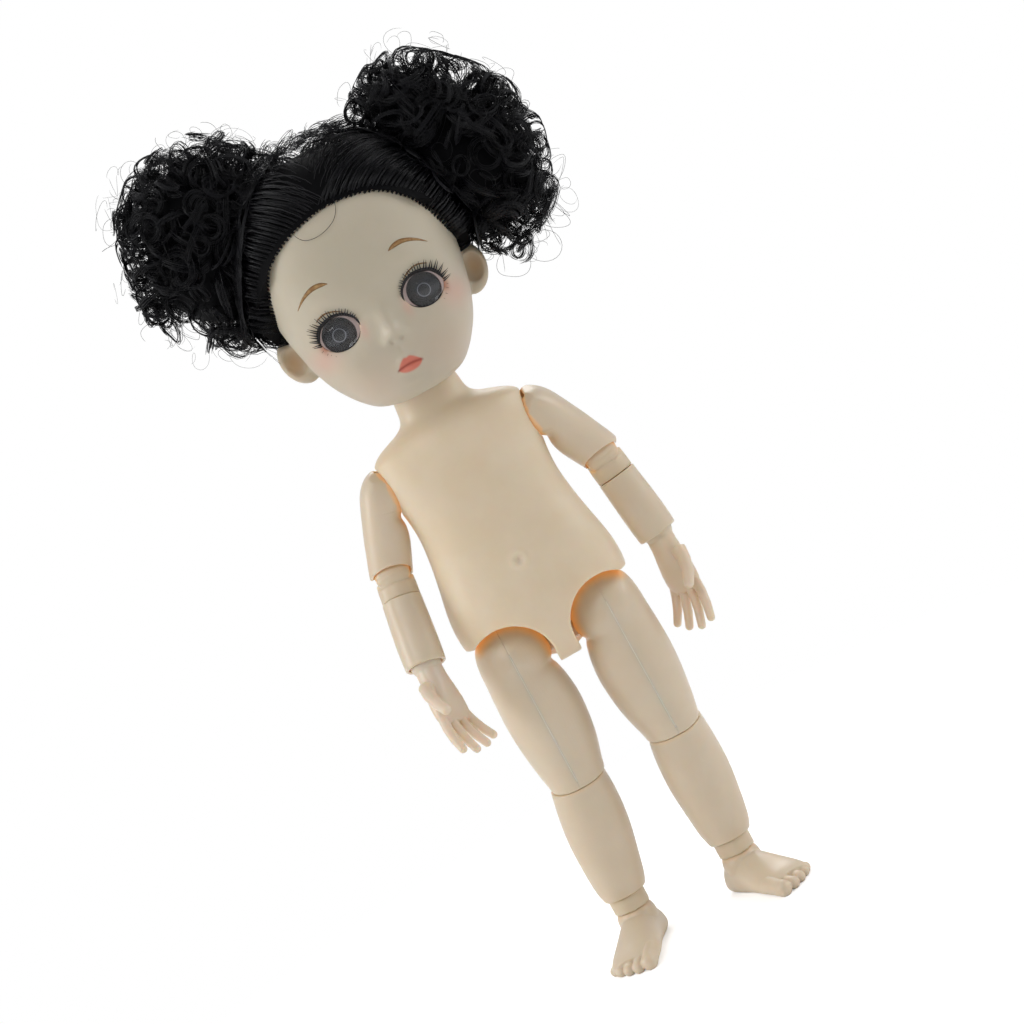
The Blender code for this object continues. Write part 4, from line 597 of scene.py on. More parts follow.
ankle_frame = {}
for side, sign in SIDES:
    thigh_turns = [(-sign * THIGH_LEAN[side], "Y")]
    hip = frame_at(f"hip_spread_{side}", *thigh_turns)
    knee = frame_at(f"knee_bend_{side}", *thigh_turns)
    facing = -math.pi / 2 * sign
    edges = sorted((facing - sign * HIP_TRAVEL[1], facing - sign * HIP_TRAVEL[0]))
    whole = shaped(
        limb(THIGH_SHARES, THIGH_LENGTH, THIGH_WIDTH, THIGH_DEPTH, sign, hip),
        ("INTERSECT", shaped(
            ball([HIP_BALL_RADIUS] * 3, hip, 64),
            ("UNION", rod(THIGH_WIDTH, -2 * THIGH_LENGTH, -HIP_BALL_RADIUS / 4, hip)))),
        cut(block(
            (-THIGH_WIDTH, -2 * THIGH_DEPTH, -THIGH_LENGTH), (THIGH_WIDTH, 2 * THIGH_DEPTH, 0),
            moved(hip, 0, 0, -THIGH_LENGTH) @ turned(KNEE_RIM_TILT, "X"))),
        cut(rod(
            HIP_TONGUE_RADIUS + GAP, -HIP_TONGUE_THICKNESS / 2 - GAP, HIP_TONGUE_THICKNESS / 2 + GAP, hip,
            "Y")),
        cut(slot(HIP_BALL_RADIUS + OVERRUN, AXLE_RADIUS + GAP, *edges, 2 * (AXLE_RADIUS + GAP), "Y", hip)),
        cut(ball(
            (KNEE_KNUCKLE_WIDTH / 2 + GAP, KNEE_KNUCKLE_RADIUS + GAP, KNEE_KNUCKLE_RADIUS + GAP), knee)),
        cut(rod(KNEE_NOTCH_RISE, 0, THIGH_DEPTH, knee, "Y", wide=KNEE_NOTCH_WIDTH / 2)))
    for half, direction in (("outer", sign), ("inner", -sign)):
        keep = sorted((direction * GLUE_LINE / 2, direction * THIGH_WIDTH))
        shell = shaped(whole.copy(), ("INTERSECT", block(
            (keep[0], -THIGH_DEPTH, -2 * THIGH_LENGTH), (keep[1], THIGH_DEPTH, THIGH_LENGTH), hip)))
        place_moulding(
            f"thigh_{half}_moulding_{side}", moulded(shell, LEG_VOXEL, 2), f"thigh_{side}", LIMB_ABS,
            "limb_plastic", f"thigh_{half}_{side}")

    shin_frame = moved(knee, 0, -KNEE_BACK, -KNEE_ABOVE_RIM - SNUG) @ turned(
        -sign * (SHIN_LEAN[side] - THIGH_LEAN[side]), "Y")
    ankle = frame_at(f"ankle_swivel_{side}")
    ankle_frame[side] = ankle
    well_top = -KNEE_ABOVE_RIM - KNEE_DISC_TOP
    well_low = well_top - KNEE_DISC_THICKNESS
    under = moved(knee, 0, -KNEE_BACK, 0)
    shin = shaped(
        limb(SHIN_SHARES, SHIN_LENGTH, SHIN_WIDTH, SHIN_DEPTH, sign, shin_frame, -SHIN_LENGTH),
        cut(block(
            (-THIGH_WIDTH, -2 * THIGH_DEPTH, 0), (THIGH_WIDTH, 2 * THIGH_DEPTH, THIGH_LENGTH),
            moved(under, 0, 0, -KNEE_ABOVE_RIM - SNUG) @ turned(KNEE_RIM_TILT, "X"))),
        cut(rod(KNEE_DISC_RADIUS + GAP, well_low - GAP, 0, under)),
        cut(rod(KNEE_STUD_RADIUS + GAP, well_low - KNEE_STUD_LENGTH - GAP, 0, under)),
        cut(ball(
            (KNEE_KNUCKLE_WIDTH / 2 + GAP, KNEE_KNUCKLE_RADIUS + GAP, KNEE_KNUCKLE_RADIUS + GAP), knee)),
        cut(rod(ANKLE_STUD_RADIUS + GAP, 0, ANKLE_STUD_LENGTH + ANKLE_RIM_HEIGHT - ANKLE_HEIGHT, ankle)),
        cut(block([-SHIN_LENGTH] * 3, (SHIN_LENGTH, SHIN_LENGTH, ANKLE_RIM_HEIGHT - ANKLE_HEIGHT), ankle)))
    place_moulding(
        f"shin_moulding_{side}", moulded(shin, LEG_VOXEL, 2), f"shin_{side}", LIMB_ABS, "limb_plastic",
        f"shin_{side}")
    knuckle = joined(
        ball((KNEE_KNUCKLE_WIDTH / 2, KNEE_KNUCKLE_RADIUS, KNEE_KNUCKLE_RADIUS), knee),
        rod(KNEE_NECK_RADIUS, well_low, 0, moved(knee, 0, -KNEE_BACK / 2, 0)),
        rod(KNEE_DISC_RADIUS, well_low, well_top, under),
        rod(KNEE_STUD_RADIUS, well_low - KNEE_STUD_LENGTH, well_top, under))
    place_moulding(
        f"knee_knuckle_{side}", moulded(knuckle, LEG_VOXEL, 2), f"shin_{side}", JOINT_NYLON, "joint_nylon",
        f"knee_link_{side}")
    rim = ANKLE_RIM_HEIGHT - ANKLE_HEIGHT - SNUG
    band = shaped(rod(ANKLE_BAND_RADIUS, 0, rim, ankle), cut(ball([ANKLE_DOME_RADIUS + GAP] * 3, ankle)))
    band = joined(
        band, rod(ANKLE_STUD_RADIUS, rim - GAP, rim + ANKLE_STUD_LENGTH, ankle),
        rod(ANKLE_NECK_RADIUS, 0, rim, ankle), ball([ANKLE_LOBE_RADIUS] * 3, ankle))
    place_moulding(
        f"ankle_band_{side}", moulded(band, LEG_VOXEL * 0.8, 2), f"ankle_link_{side}", JOINT_NYLON,
        "joint_nylon", f"ankle_link_{side}")
    dress(JOINT_NYLON, f"hip_link_{side}")

# Feet
# Each foot is one solid moulding of the legs' ABS, with five short toes that touch, a low arch and a
# flat sole. It tilts on the ankle band's lobe.
FOOT_TURN = {"left": math.radians(26), "right": math.radians(18)}
FOOT_LENGTH = 0.0212
FOOT_WIDTH = 0.0100
FOOT_HEEL = 0.0062
INSTEP_HEIGHT = 0.0073
FOOT_SQUARE_POWER = 0.85
FOOT_LEVEL_SHARES = (0.32, 0.68, 0.42)
FOOT_SHARES = [
    (0.00, 0.18, 0.18, 0.38), (0.05, 0.30, 0.30, 0.62), (0.14, 0.37, 0.37, 0.86), (0.28, 0.39, 0.39, 1.00),
    (0.44, 0.41, 0.40, 0.94), (0.60, 0.46, 0.44, 0.78), (0.76, 0.51, 0.48, 0.60), (0.88, 0.50, 0.48, 0.48),
    (0.96, 0.44, 0.43, 0.36),
]
TOE_RADIUS = 0.0014
TOE_REACH = 0.0030
TOE_SHARES = [
    (-0.37, 1.16, 1.05), (-0.12, 0.90, 0.80), (0.10, 0.83, 0.44), (0.30, 0.77, -0.06), (0.47, 0.71, -0.70)]
TOE_LEVEL_SHARE = 0.86
TOE_LINE_SHARES = ((0.97, 3.2, 0.35), (1.00, 1.3, 0.12), (1.01, 0.0, 0.00))
TOE_TAPER_SHARES = (1.02, 0.94, 1.00)
ANKLE_TRAVEL = math.radians(24)
FOOT_SEGMENTS = 64
DIGIT_SEGMENTS = 24
TIP_STEPS = 8
FOOT_VOXEL = 0.00013


def digit(path, radii, place):
    """A finger or toe along a path in a frame, with a round tip."""
    path = [Vector(point) for point in path]
    stations = []
    for index, (point, radius) in enumerate(zip(path, radii)):
        before, after = path[max(index - 1, 0)], path[min(index + 1, len(path) - 1)]
        stations.append((point, radius, (after - before).normalized()))
    last = (path[-1] - path[-2]).normalized()
    for step in reversed(range(TIP_STEPS)):
        angle = math.pi / 2 * (step + 0.1) / TIP_STEPS
        stations.append((path[-1] + last * radii[-1] * math.cos(angle), radii[-1] * math.sin(angle), last))
    rings = []
    for centre, radius, ahead in stations:
        aside = ahead.cross(Vector((0.31, 0.95, 0.05))).normalized()
        up = ahead.cross(aside).normalized()
        rings.append([
            centre + (aside * math.cos(turn) + up * math.sin(turn)) * radius
            for turn in (2 * math.pi * step / DIGIT_SEGMENTS for step in range(DIGIT_SEGMENTS))])
    return mesh_of(rings, place)


for side, sign in SIDES:
    foot_frame = ankle_frame[side] @ turned(sign * FOOT_TURN[side], "Z")
    middle, above, below = FOOT_LEVEL_SHARES
    rings = []
    for along, lateral, medial, high in smooth_table(FOOT_SHARES, 5):
        high *= INSTEP_HEIGHT
        ring = []
        for step in range(FOOT_SEGMENTS):
            turn = 2 * math.pi * step / FOOT_SEGMENTS
            across, up = math.cos(turn), math.sin(turn)
            reach = (lateral if across > 0 else medial) * FOOT_WIDTH
            x = math.copysign(abs(across) ** FOOT_SQUARE_POWER, across) * reach
            ring.append((
                sign * x, FOOT_HEEL - along * FOOT_LENGTH,
                up * high * (above if up > 0 else below) + high * middle - ANKLE_HEIGHT))
        rings.append(ring)
    parts = [mesh_of(rings, foot_frame), ball([ANKLE_DOME_RADIUS] * 3, foot_frame)]
    for across, thick, reach in TOE_SHARES:
        radius = TOE_RADIUS * thick
        tip = FOOT_HEEL - FOOT_LENGTH - reach * TOE_REACH + radius
        low = radius * TOE_LEVEL_SHARE - ANKLE_HEIGHT
        toe = [(sign * across * FOOT_WIDTH * aside, tip + radius * back, low + radius * up)
               for aside, back, up in TOE_LINE_SHARES]
        parts.append(digit(toe, [radius * share for share in TOE_TAPER_SHARES], foot_frame))
    foot = shaped(
        moulded(joined(*parts), FOOT_VOXEL, 3),
        cut(block(
            (-FOOT_LENGTH, -2 * FOOT_LENGTH, -2 * ANKLE_HEIGHT), (FOOT_LENGTH, FOOT_LENGTH, -ANKLE_HEIGHT),
            foot_frame)),
        cut(ball([ANKLE_LOBE_RADIUS + GAP] * 3, foot_frame)),
        cut(slot(
            ANKLE_DOME_RADIUS + OVERRUN, ANKLE_NECK_RADIUS + GAP, math.pi - ANKLE_TRAVEL,
            math.pi + ANKLE_TRAVEL, 2 * (ANKLE_NECK_RADIUS + GAP), "X", foot_frame)))
    place_moulding(f"foot_moulding_{side}", foot, f"foot_{side}", LIMB_ABS, "limb_plastic", f"foot_{side}")

# Arms
# Upper arm and forearm are injection moulded ABS. The elbow's nylon knuckle sits in the arm's cup, and
# its barrel fills the gap above the forearm, which swivels on the barrel's stud.
ARM_SWING = {"left": math.radians(-17), "right": math.radians(-2)}
ARM_SPREAD = {"left": math.radians(21.7), "right": math.radians(18.3)}
ELBOW_BEND = {"left": math.radians(20), "right": math.radians(24)}
FOREARM_TUCK = {"left": math.radians(14), "right": math.radians(10)}
HAND_TUCK = {"left": math.radians(8), "right": math.radians(8)}
HAND_TURN = {"left": math.radians(45), "right": math.radians(45)}
SHOULDER_TONGUE_RADIUS = 0.0021
SHOULDER_TONGUE_THICKNESS = 0.0026
SPREAD_TRAVEL = (math.radians(-6), math.radians(64))
UPPER_ARM_LENGTH = 0.0148
ARM_WIDTH = 0.0084
ARM_DEPTH = 0.0086
UPPER_ARM_SHARES = [
    (0.00, 0.500, 0.470, 0.470, 0.470), (0.10, 0.500, 0.490, 0.490, 0.490),
    (0.30, 0.485, 0.530, 0.505, 0.505), (0.46, 0.475, 0.545, 0.515, 0.515),
    (0.60, 0.460, 0.515, 0.530, 0.530), (0.74, 0.440, 0.440, 0.540, 0.540),
    (0.88, 0.420, 0.600, 0.550, 0.550), (1.05, 0.380, 0.660, 0.540, 0.540),
    (1.18, 0.300, 0.630, 0.500, 0.500), (1.28, 0.180, 0.540, 0.430, 0.430),
    (1.34, 0.040, 0.380, 0.300, 0.300),]
ARM_TRUNK_SHARE = 0.50
ARM_BALL_SEGMENTS = 50
ARM_BALL_TWIST = 0.02               # keeps its edges off the loft's own
ELBOW_FORWARD = 0.0016
ELBOW_ABOVE_RIM = 0.0008
ELBOW_KNUCKLE_WIDTH = 0.0068
ELBOW_KNUCKLE_RADIUS = 0.0022
ELBOW_NOTCH_WIDTH = 0.0069
ELBOW_NOTCH_RISE = 0.0016
ELBOW_FRONT_PLACE = (-0.00035, -0.0010)
ELBOW_FRONT_RADII = (0.0033, 0.00175, 0.00175)
ELBOW_BARREL_RADIUS = 0.0034
ELBOW_BARREL_WIDTH = 0.0074
ELBOW_BARREL_LENGTH = 0.0038
ELBOW_BARREL_SLOPE = 0.0015
ELBOW_STUD_RADIUS = 0.0016
ELBOW_STUD_LENGTH = 0.0050
FOREARM_LENGTH = 0.0133
FOREARM_WIDTH = 0.0080
FOREARM_SHARES = [
    (0.00, 0.470, 0.470, 0.470, 0.470), (0.04, 0.490, 0.490, 0.485, 0.485),
    (0.30, 0.505, 0.495, 0.500, 0.500), (0.60, 0.500, 0.485, 0.500, 0.500),
    (0.85, 0.485, 0.475, 0.480, 0.480), (1.00, 0.480, 0.470, 0.475, 0.475),
]
WRIST_BALL_RADIUS = 0.0030
WRIST_STEM_RADIUS = 0.0009
WRIST_STEM_LENGTH = 0.0054
WRIST_FLANGE_RADIUS = 0.0015
WRIST_FLANGE_THICKNESS = 0.0010
ARM_VOXEL = 0.00016

wrist_frame = {}
for side, sign in SIDES:
    arm_turns = [(TORSO_LEAN, "Y"), (-ARM_SWING[side], "X"), (-sign * ARM_SPREAD[side], "Y")]
    elbow_turns = arm_turns + [(sign * FOREARM_TUCK[side], "Y")]
    forearm_turns = elbow_turns + [(-ELBOW_BEND[side], "X")]
    hand_turns = forearm_turns + [(sign * HAND_TUCK[side], "Y"), (-sign * HAND_TURN[side], "Z")]
    arm = frame_at(f"arm_spread_{side}", *arm_turns)
    seat = frame_at(f"elbow_bend_{side}", *elbow_turns)
    elbow = frame_at(f"elbow_bend_{side}", *forearm_turns)
    swivel = frame_at(f"forearm_swivel_{side}", *forearm_turns)
    wrist = frame_at(f"wrist_swivel_{side}", *hand_turns)
    wrist_frame[side] = wrist
    facing = -math.pi / 2 * sign
    edges = sorted((facing - sign * SPREAD_TRAVEL[1], facing - sign * SPREAD_TRAVEL[0]))
    twisted = arm @ turned(ARM_BALL_TWIST, "Z")
    upper = shaped(
        limb(UPPER_ARM_SHARES, UPPER_ARM_LENGTH, ARM_WIDTH, ARM_DEPTH, sign, arm, -UPPER_ARM_LENGTH),
        ("INTERSECT", shaped(
            ball([ARM_BALL_RADIUS] * 3, twisted, ARM_BALL_SEGMENTS),
            ("UNION", rod(
                ARM_WIDTH, -UPPER_ARM_LENGTH - OVERRUN, -ARM_BALL_RADIUS * ARM_TRUNK_SHARE, twisted)))),
        cut(slot(ARM_BALL_RADIUS + OVERRUN, AXLE_RADIUS + GAP, *edges, 2 * (AXLE_RADIUS + GAP), "Y", arm)),
        cut(rod(
            SHOULDER_TONGUE_RADIUS + GAP, -SHOULDER_TONGUE_THICKNESS / 2 - GAP,
            SHOULDER_TONGUE_THICKNESS / 2 + GAP, arm, "Y")),
        cut(ball(
            (ELBOW_KNUCKLE_WIDTH / 2 + GAP, ELBOW_KNUCKLE_RADIUS + GAP, ELBOW_KNUCKLE_RADIUS + GAP), seat)),
        cut(rod(ELBOW_NOTCH_RISE, -ARM_DEPTH, 0, seat, "Y", wide=ELBOW_NOTCH_WIDTH / 2)))
    place_moulding(
        f"upper_arm_moulding_{side}", moulded(upper, ARM_VOXEL, 2), f"upper_arm_{side}", LIMB_ABS,
        "limb_plastic", f"upper_arm_{side}")
    top = -ELBOW_ABOVE_RIM - GAP
    low = top - ELBOW_BARREL_LENGTH - GAP + SNUG
    barrel = [
        outline(height, wide, wide, deep, deep, power=2) for height, wide,
        deep in (
            (low, ELBOW_BARREL_WIDTH / 2, ELBOW_BARREL_RADIUS),
            (top - ELBOW_BARREL_SLOPE, ELBOW_BARREL_WIDTH / 2, ELBOW_BARREL_RADIUS),
            (top, ELBOW_BARREL_WIDTH / 2 - SNUG, ELBOW_BARREL_RADIUS - ELBOW_BARREL_SLOPE))]
    behind_hinge = moved(elbow, 0, ELBOW_FORWARD, 0)
    knuckle = joined(
        ball((ELBOW_KNUCKLE_WIDTH / 2, ELBOW_KNUCKLE_RADIUS, ELBOW_KNUCKLE_RADIUS), elbow),
        ball(ELBOW_FRONT_RADII, moved(elbow, 0, *ELBOW_FRONT_PLACE)), mesh_of(barrel, behind_hinge),
        rod(ELBOW_STUD_RADIUS, low - ELBOW_STUD_LENGTH, top, behind_hinge))
    place_moulding(
        f"elbow_knuckle_{side}", moulded(knuckle, ARM_VOXEL, 3), f"elbow_link_{side}", JOINT_NYLON,
        "joint_nylon", f"elbow_link_{side}")
    forearm = shaped(
        limb(FOREARM_SHARES, FOREARM_LENGTH, FOREARM_WIDTH, FOREARM_WIDTH, sign, swivel, -FOREARM_LENGTH),
        cut(rod(ELBOW_STUD_RADIUS + GAP, -ELBOW_STUD_LENGTH - 2 * GAP, OVERRUN, swivel)),
        cut(ball([WRIST_BALL_RADIUS + GAP] * 3, wrist)),
        cut(rod(WRIST_STEM_RADIUS + GAP, 0, WRIST_STEM_LENGTH, wrist)),
        cut(rod(
            WRIST_FLANGE_RADIUS + GAP, WRIST_STEM_LENGTH - WRIST_FLANGE_THICKNESS - GAP,
            WRIST_STEM_LENGTH + GAP, wrist)))
    place_moulding(
        f"forearm_moulding_{side}", moulded(forearm, ARM_VOXEL, 2), f"forearm_{side}", LIMB_ABS,
        "limb_plastic", f"forearm_{side}")
    dress(JOINT_NYLON, f"shoulder_link_{side}", f"wrist_link_{side}")

# Hands
# Each hand is a small solid PVC moulding, softer and more see-through than the limbs: a palm with four
# slightly bent fingers and a thumb, and a ball at the wrist that a tongue holds.
WRIST_TONGUE_RADIUS = 0.0015
WRIST_TONGUE_THICKNESS = 0.0014
WRIST_TRAVEL = math.radians(32)
PALM_LENGTH = 0.0120
PALM_WIDTH = 0.0076
PALM_THICKNESS = 0.0048
PALM_SHARES = [
    (0.00, 0.330, 0.330, 0.500, 0.500), (0.14, 0.345, 0.345, 0.500, 0.500),
    (0.30, 0.360, 0.350, 0.500, 0.520), (0.50, 0.430, 0.420, 0.480, 0.490),
    (0.72, 0.500, 0.490, 0.440, 0.440), (0.92, 0.510, 0.500, 0.370, 0.370),
    (1.06, 0.440, 0.440, 0.230, 0.230),
]
FINGER_RADIUS = 0.00092
FINGER_ROOT_SHARE = 0.90
FINGER_TAPER_SHARES = (1.05, 1.03, 0.97, 0.85)
FINGER_LENGTH = 0.0092
FINGER_CURL = math.radians(9)
FINGER_JOINTS = 3
FINGER_SHARES = [(0.370, 0.93, 0.20), (0.130, 1.00, 0.07), (-0.120, 0.93, -0.08), (-0.360, 0.80, -0.24)]
THUMB_RADIUS = 0.00115
THUMB_LENGTH = 0.0074
THUMB_BASE_SHARES = (0.44, -0.10, 0.40)
THUMB_LEAN_SHARES = ((0.50, -0.45), (0.28, -0.60), (-0.05, -0.55))
THUMB_TAPER_SHARES = (1.25, 1.10, 1.00, 0.85)
HAND_VOXEL = 0.00012
HAND_PVC = vinyl("moulded_pvc_hand", "#decfbb", "#ecc46c", "#d9c6a2", 0.34, 2.8, weight=0.55)[0]

for side, sign in SIDES:
    wrist = wrist_frame[side]
    rings = []
    for down, lateral, medial, front, back in smooth_table(PALM_SHARES, 5):
        rings.append(outline(
            -down * PALM_LENGTH, lateral * PALM_WIDTH, medial * PALM_WIDTH, front * PALM_THICKNESS,
            back * PALM_THICKNESS, sign))
    parts = [mesh_of(rings, wrist), ball([WRIST_BALL_RADIUS] * 3, wrist)]
    for across, long, fan in FINGER_SHARES:
        path = [Vector((sign * across * PALM_WIDTH, 0, -PALM_LENGTH * FINGER_ROOT_SHARE))]
        for joint in range(FINGER_JOINTS):
            bend = FINGER_CURL * (joint + 1)
            ahead = Vector((
                sign * math.sin(fan), -math.sin(bend) * math.cos(fan), -math.cos(bend) * math.cos(fan)))
            path.append(path[-1] + ahead * FINGER_LENGTH * long / FINGER_JOINTS)
        parts.append(digit(path, [FINGER_RADIUS * share for share in FINGER_TAPER_SHARES], wrist))
    across, ahead, down = THUMB_BASE_SHARES
    path = [Vector((sign * across * PALM_WIDTH, ahead * PALM_THICKNESS, -down * PALM_LENGTH))]
    for lean_out, lean_front in THUMB_LEAN_SHARES:
        step = Vector((sign * lean_out, lean_front, -1)).normalized()
        path.append(path[-1] + step * THUMB_LENGTH / len(THUMB_LEAN_SHARES))
    parts.append(digit(path, [THUMB_RADIUS * share for share in THUMB_TAPER_SHARES], wrist))
    hand = shaped(
        moulded(joined(*parts), HAND_VOXEL, 4),
        cut(rod(
            WRIST_TONGUE_RADIUS + GAP, -WRIST_TONGUE_THICKNESS / 2 - GAP, WRIST_TONGUE_THICKNESS / 2 + GAP,
            wrist, "X")),
        cut(slot(
            WRIST_BALL_RADIUS + OVERRUN, WRIST_STEM_RADIUS + GAP, math.pi - WRIST_TRAVEL,
            math.pi + WRIST_TRAVEL, WRIST_TONGUE_THICKNESS + 2 * GAP, "X", wrist)))
    place_moulding(f"hand_moulding_{side}", hand, f"hand_{side}", HAND_PVC, "limb_plastic", f"hand_{side}")

# Head
# The head is one hollow moulding of pale, matt soft PVC with two eye holes. It is pushed over a plug
# on the neck's ball. The face is flat and round, with a small nose and mouth that stand a little proud.
HEAD_HEIGHT = 0.0480
HEAD_WIDTH = 0.0370
HEAD_DEPTH = 0.0400
HEAD_LOW = -0.0062
HEAD_POWER = 2.05
FACE_POWER = 2.7
HEAD_SHARES = [
    (0.000, 0.130, 0.385, 0.050), (0.022, 0.225, 0.415, 0.140), (0.060, 0.290, 0.440, 0.230),
    (0.110, 0.345, 0.457, 0.320), (0.170, 0.395, 0.467, 0.400), (0.250, 0.438, 0.472, 0.462),
    (0.330, 0.465, 0.472, 0.500), (0.420, 0.488, 0.478, 0.525), (0.510, 0.500, 0.492, 0.535),
    (0.610, 0.499, 0.500, 0.535), (0.700, 0.482, 0.487, 0.520), (0.780, 0.446, 0.450, 0.485),
    (0.860, 0.382, 0.383, 0.418), (0.920, 0.300, 0.298, 0.328), (0.965, 0.195, 0.190, 0.215),
    (0.992, 0.080, 0.078, 0.090),
]
HEAD_MIDDLE_SHARE = 0.52
HEAD_FORWARD = -0.0005
HEAD_INNER_DRAW = -0.0042
FACE_BLEND = 2.2
HEAD_POINTS = 168
HEAD_CROWDING = 0.58
HEAD_VOXEL = 0.00031
NECK_HOLE_RADIUS = 0.0090
NECK_PLUG_RADIUS = 0.0062
NECK_PLUG_FLANGE_RADIUS = 0.0100
NECK_PLUG_FLANGE_THICKNESS = 0.0014
EAR_PLACE = (0.0178, 0.0012, 0.0092)
EAR_RADII = (0.0036, 0.0019, 0.0048)
EAR_BOWL_SHARE = 0.60
EAR_LEAN = math.radians(14)
EAR_FLARE = math.radians(18)
EYE_PLACE = (0.0086, -0.0092, 0.0101)
EYE_RADIUS = 0.0060
LID_MIDDLE = (0.00845, 0.01012)
LID_HALF_WIDTH = 0.00378
LID_HALF_HEIGHT = 0.00306
HAIR_SIDE_SWELL = 0.0022
HAIR_SWELL_HEIGHT = 0.0190
HAIR_SWELL_SPREAD = 0.0085
# millimetres: across and up from the neck ball, spread across and up, push forward; both sides alike
FACE_FORMS_MM = [
    (8.6, 10.1, 4.4, 3.7, -1.75), (8.6, 16.2, 5.0, 2.2, 0.35), (0.0, 11.2, 2.6, 3.2, 0.10),
    (0.0, 8.6, 1.35, 2.4, 0.75), (0.0, 6.1, 1.45, 1.35, 1.45), (1.75, 5.2, 0.85, 0.75, 0.50),
    (0.0, 3.6, 1.8, 0.9, -0.20), (0.0, -0.4, 3.8, 3.0, 0.55), (0.9, 0.55, 1.0, 0.62, 0.42),
    (0.0, -1.15, 1.35, 0.62, 0.62), (0.0, -2.6, 2.2, 0.6, -0.28), (0.0, -4.2, 3.4, 1.6, 0.45),
    (10.6, 3.0, 4.8, 4.6, 0.45),
]
MOUTH_HALF_WIDTH = 0.00254
MOUTH_TOP = 0.00129
MOUTH_LOW = -0.00187
MOUTH_CORNER = -0.00075
MOUTH_LINE = -0.00039
MOUTH_LINE_WIDTH = 0.00021
MOUTH_LINE_DEPTH = 0.00028
LIP_EDGE = 0.00050
LIP_BOW_DEPTH = 0.00028
LIP_BOW_WIDTH = 0.0004
# depth, then across, up and spreads of the dents under the nose
FACE_DENTS = [(0.00035, 0.00095, 0.0044, 0.00045, 0.00035), (0.00012, 0.0, 0.0024, 0.00045, 0.0009)]
# how far forward the skin must lie, then strength, across, up and spreads of each dab of paint
PAINT_DABS = {
    "blush": (-0.004, [(0.42, 0.0132, 0.0070, 0.0030, 0.0026), (0.42, 0.0044, 0.0086, 0.0009, 0.0016),
                       (0.1344, 0.0075, -0.0008, 0.0060, 0.0046)]),
    "corner": (-0.008, [(0.75, 0.0122, 0.0091, 0.0007, 0.0013)]),
}
# colours painted on the face: the last one, in the bowl of each ear, is painted amber light; the others are
# print
PAINT_COLOURS = {
    "blush": "#d79c8c", "corner": "#a9603f", "lips": "#cf5f48", "mouth": "#9a3626", "concha": "#c8965c"}
LIPS_STRENGTH = 0.85
MOUTH_STRENGTH = 0.70
EAR_BOWL_GLOW_STRENGTH = 0.55
FINE_ZONES = [(0, 0.0042, -0.0036, 0.0080), (0.0036, 0.0140, 0.0058, 0.0148)]   # mouth and nose, eyes

head_frame = Matrix.Translation(joint_place["neck_tilt"])
head_middle = Vector((0, HEAD_FORWARD, HEAD_LOW + HEAD_MIDDLE_SHARE * HEAD_HEIGHT))


def face_push(x, z):
    """How far the face stands forward of the plain head there."""
    push = 0
    for across, up, wide, high, far in FACE_FORMS_MM:
        for side in ((-1, 1) if across else (0,)):
            push += far * math.exp(-((x * 1000 - side * across) / wide) ** 2 - ((z * 1000 - up) / high) ** 2)
    return push / 1000


def head_mesh(grow=0.0, points=HEAD_POINTS, steps=8, first=0, face=False):
    """The plain head, grown for the hair or drawn in for the hollow; points crowd in the face."""
    rings = []
    for up, half, front, back in smooth_table(HEAD_SHARES[first:], steps):
        height = HEAD_LOW + up * HEAD_HEIGHT
        height = head_middle.z + (height - head_middle.z) * (1 + grow / (HEAD_HEIGHT / 2))
        centre = HEAD_FORWARD + (back - front) * HEAD_DEPTH / 2
        deep = (back + front) * HEAD_DEPTH / 2 + grow
        wide = half * HEAD_WIDTH + grow
        if grow > GAP:
            wide += HAIR_SIDE_SWELL * math.exp(-((height - HAIR_SWELL_HEIGHT) / HAIR_SWELL_SPREAD) ** 2)
        ring = []
        for step in range(points):
            even = 2 * math.pi * step / points
            turn = even - HEAD_CROWDING * math.cos(even)
            along = math.sin(turn)
            x, y = rounded(turn, FACE_POWER if along < 0 else HEAD_POWER)
            push = face_push(x * wide, height) * min(1, -along * FACE_BLEND) if face and along < 0 else 0
            ring.append((x * wide, centre + y * deep - push, height))
        rings.append(ring)
    return mesh_of(rings, head_frame)


def ear(sign, shrink_share=1.0, grow=0.0, shift=(0, 0, 0)):
    x, y, z = EAR_PLACE
    place = head_frame @ Matrix.Translation((sign * (x + shift[0]), y + shift[1], z + shift[2]))
    place = place @ turned(sign * EAR_LEAN, "Y") @ turned(-sign * EAR_FLARE, "Z")
    return ball([radius * shrink_share + grow for radius in EAR_RADII], place)


def lid_edge(sign, angle, grow=0.0):
    """A place on the edge of an eye opening: across and up; the outer corner is at angle 0."""
    return (sign * (LID_MIDDLE[0] + (LID_HALF_WIDTH + grow) * math.cos(angle)),
            LID_MIDDLE[1] + (LID_HALF_HEIGHT + grow) * math.sin(angle))


def eye_hole(sign):
    rings = []
    for y, grow in (
            (-HEAD_DEPTH, 0.0), (EYE_PLACE[1] - EYE_RADIUS, 0.0), (EYE_PLACE[1] - EYE_RADIUS / 2, 0.0006)):
        edge = [lid_edge(sign, 2 * math.pi * step / 56, grow) for step in range(56)]
        rings.append([(x, y, z) for x, z in edge])
    return mesh_of(rings, head_frame)


def eased(values):
    """From 0 to 1 with a soft start and a soft end."""
    values = np.clip(values, 0, 1)
    return values * values * (3 - 2 * values)


def dab(spot, across, up, wide, high):
    """The strength of a soft oval on the face at a place on it; both sides are alike."""
    return math.exp(-((abs(spot.x) - across) / wide) ** 2 - ((spot.z - up) / high) ** 2)


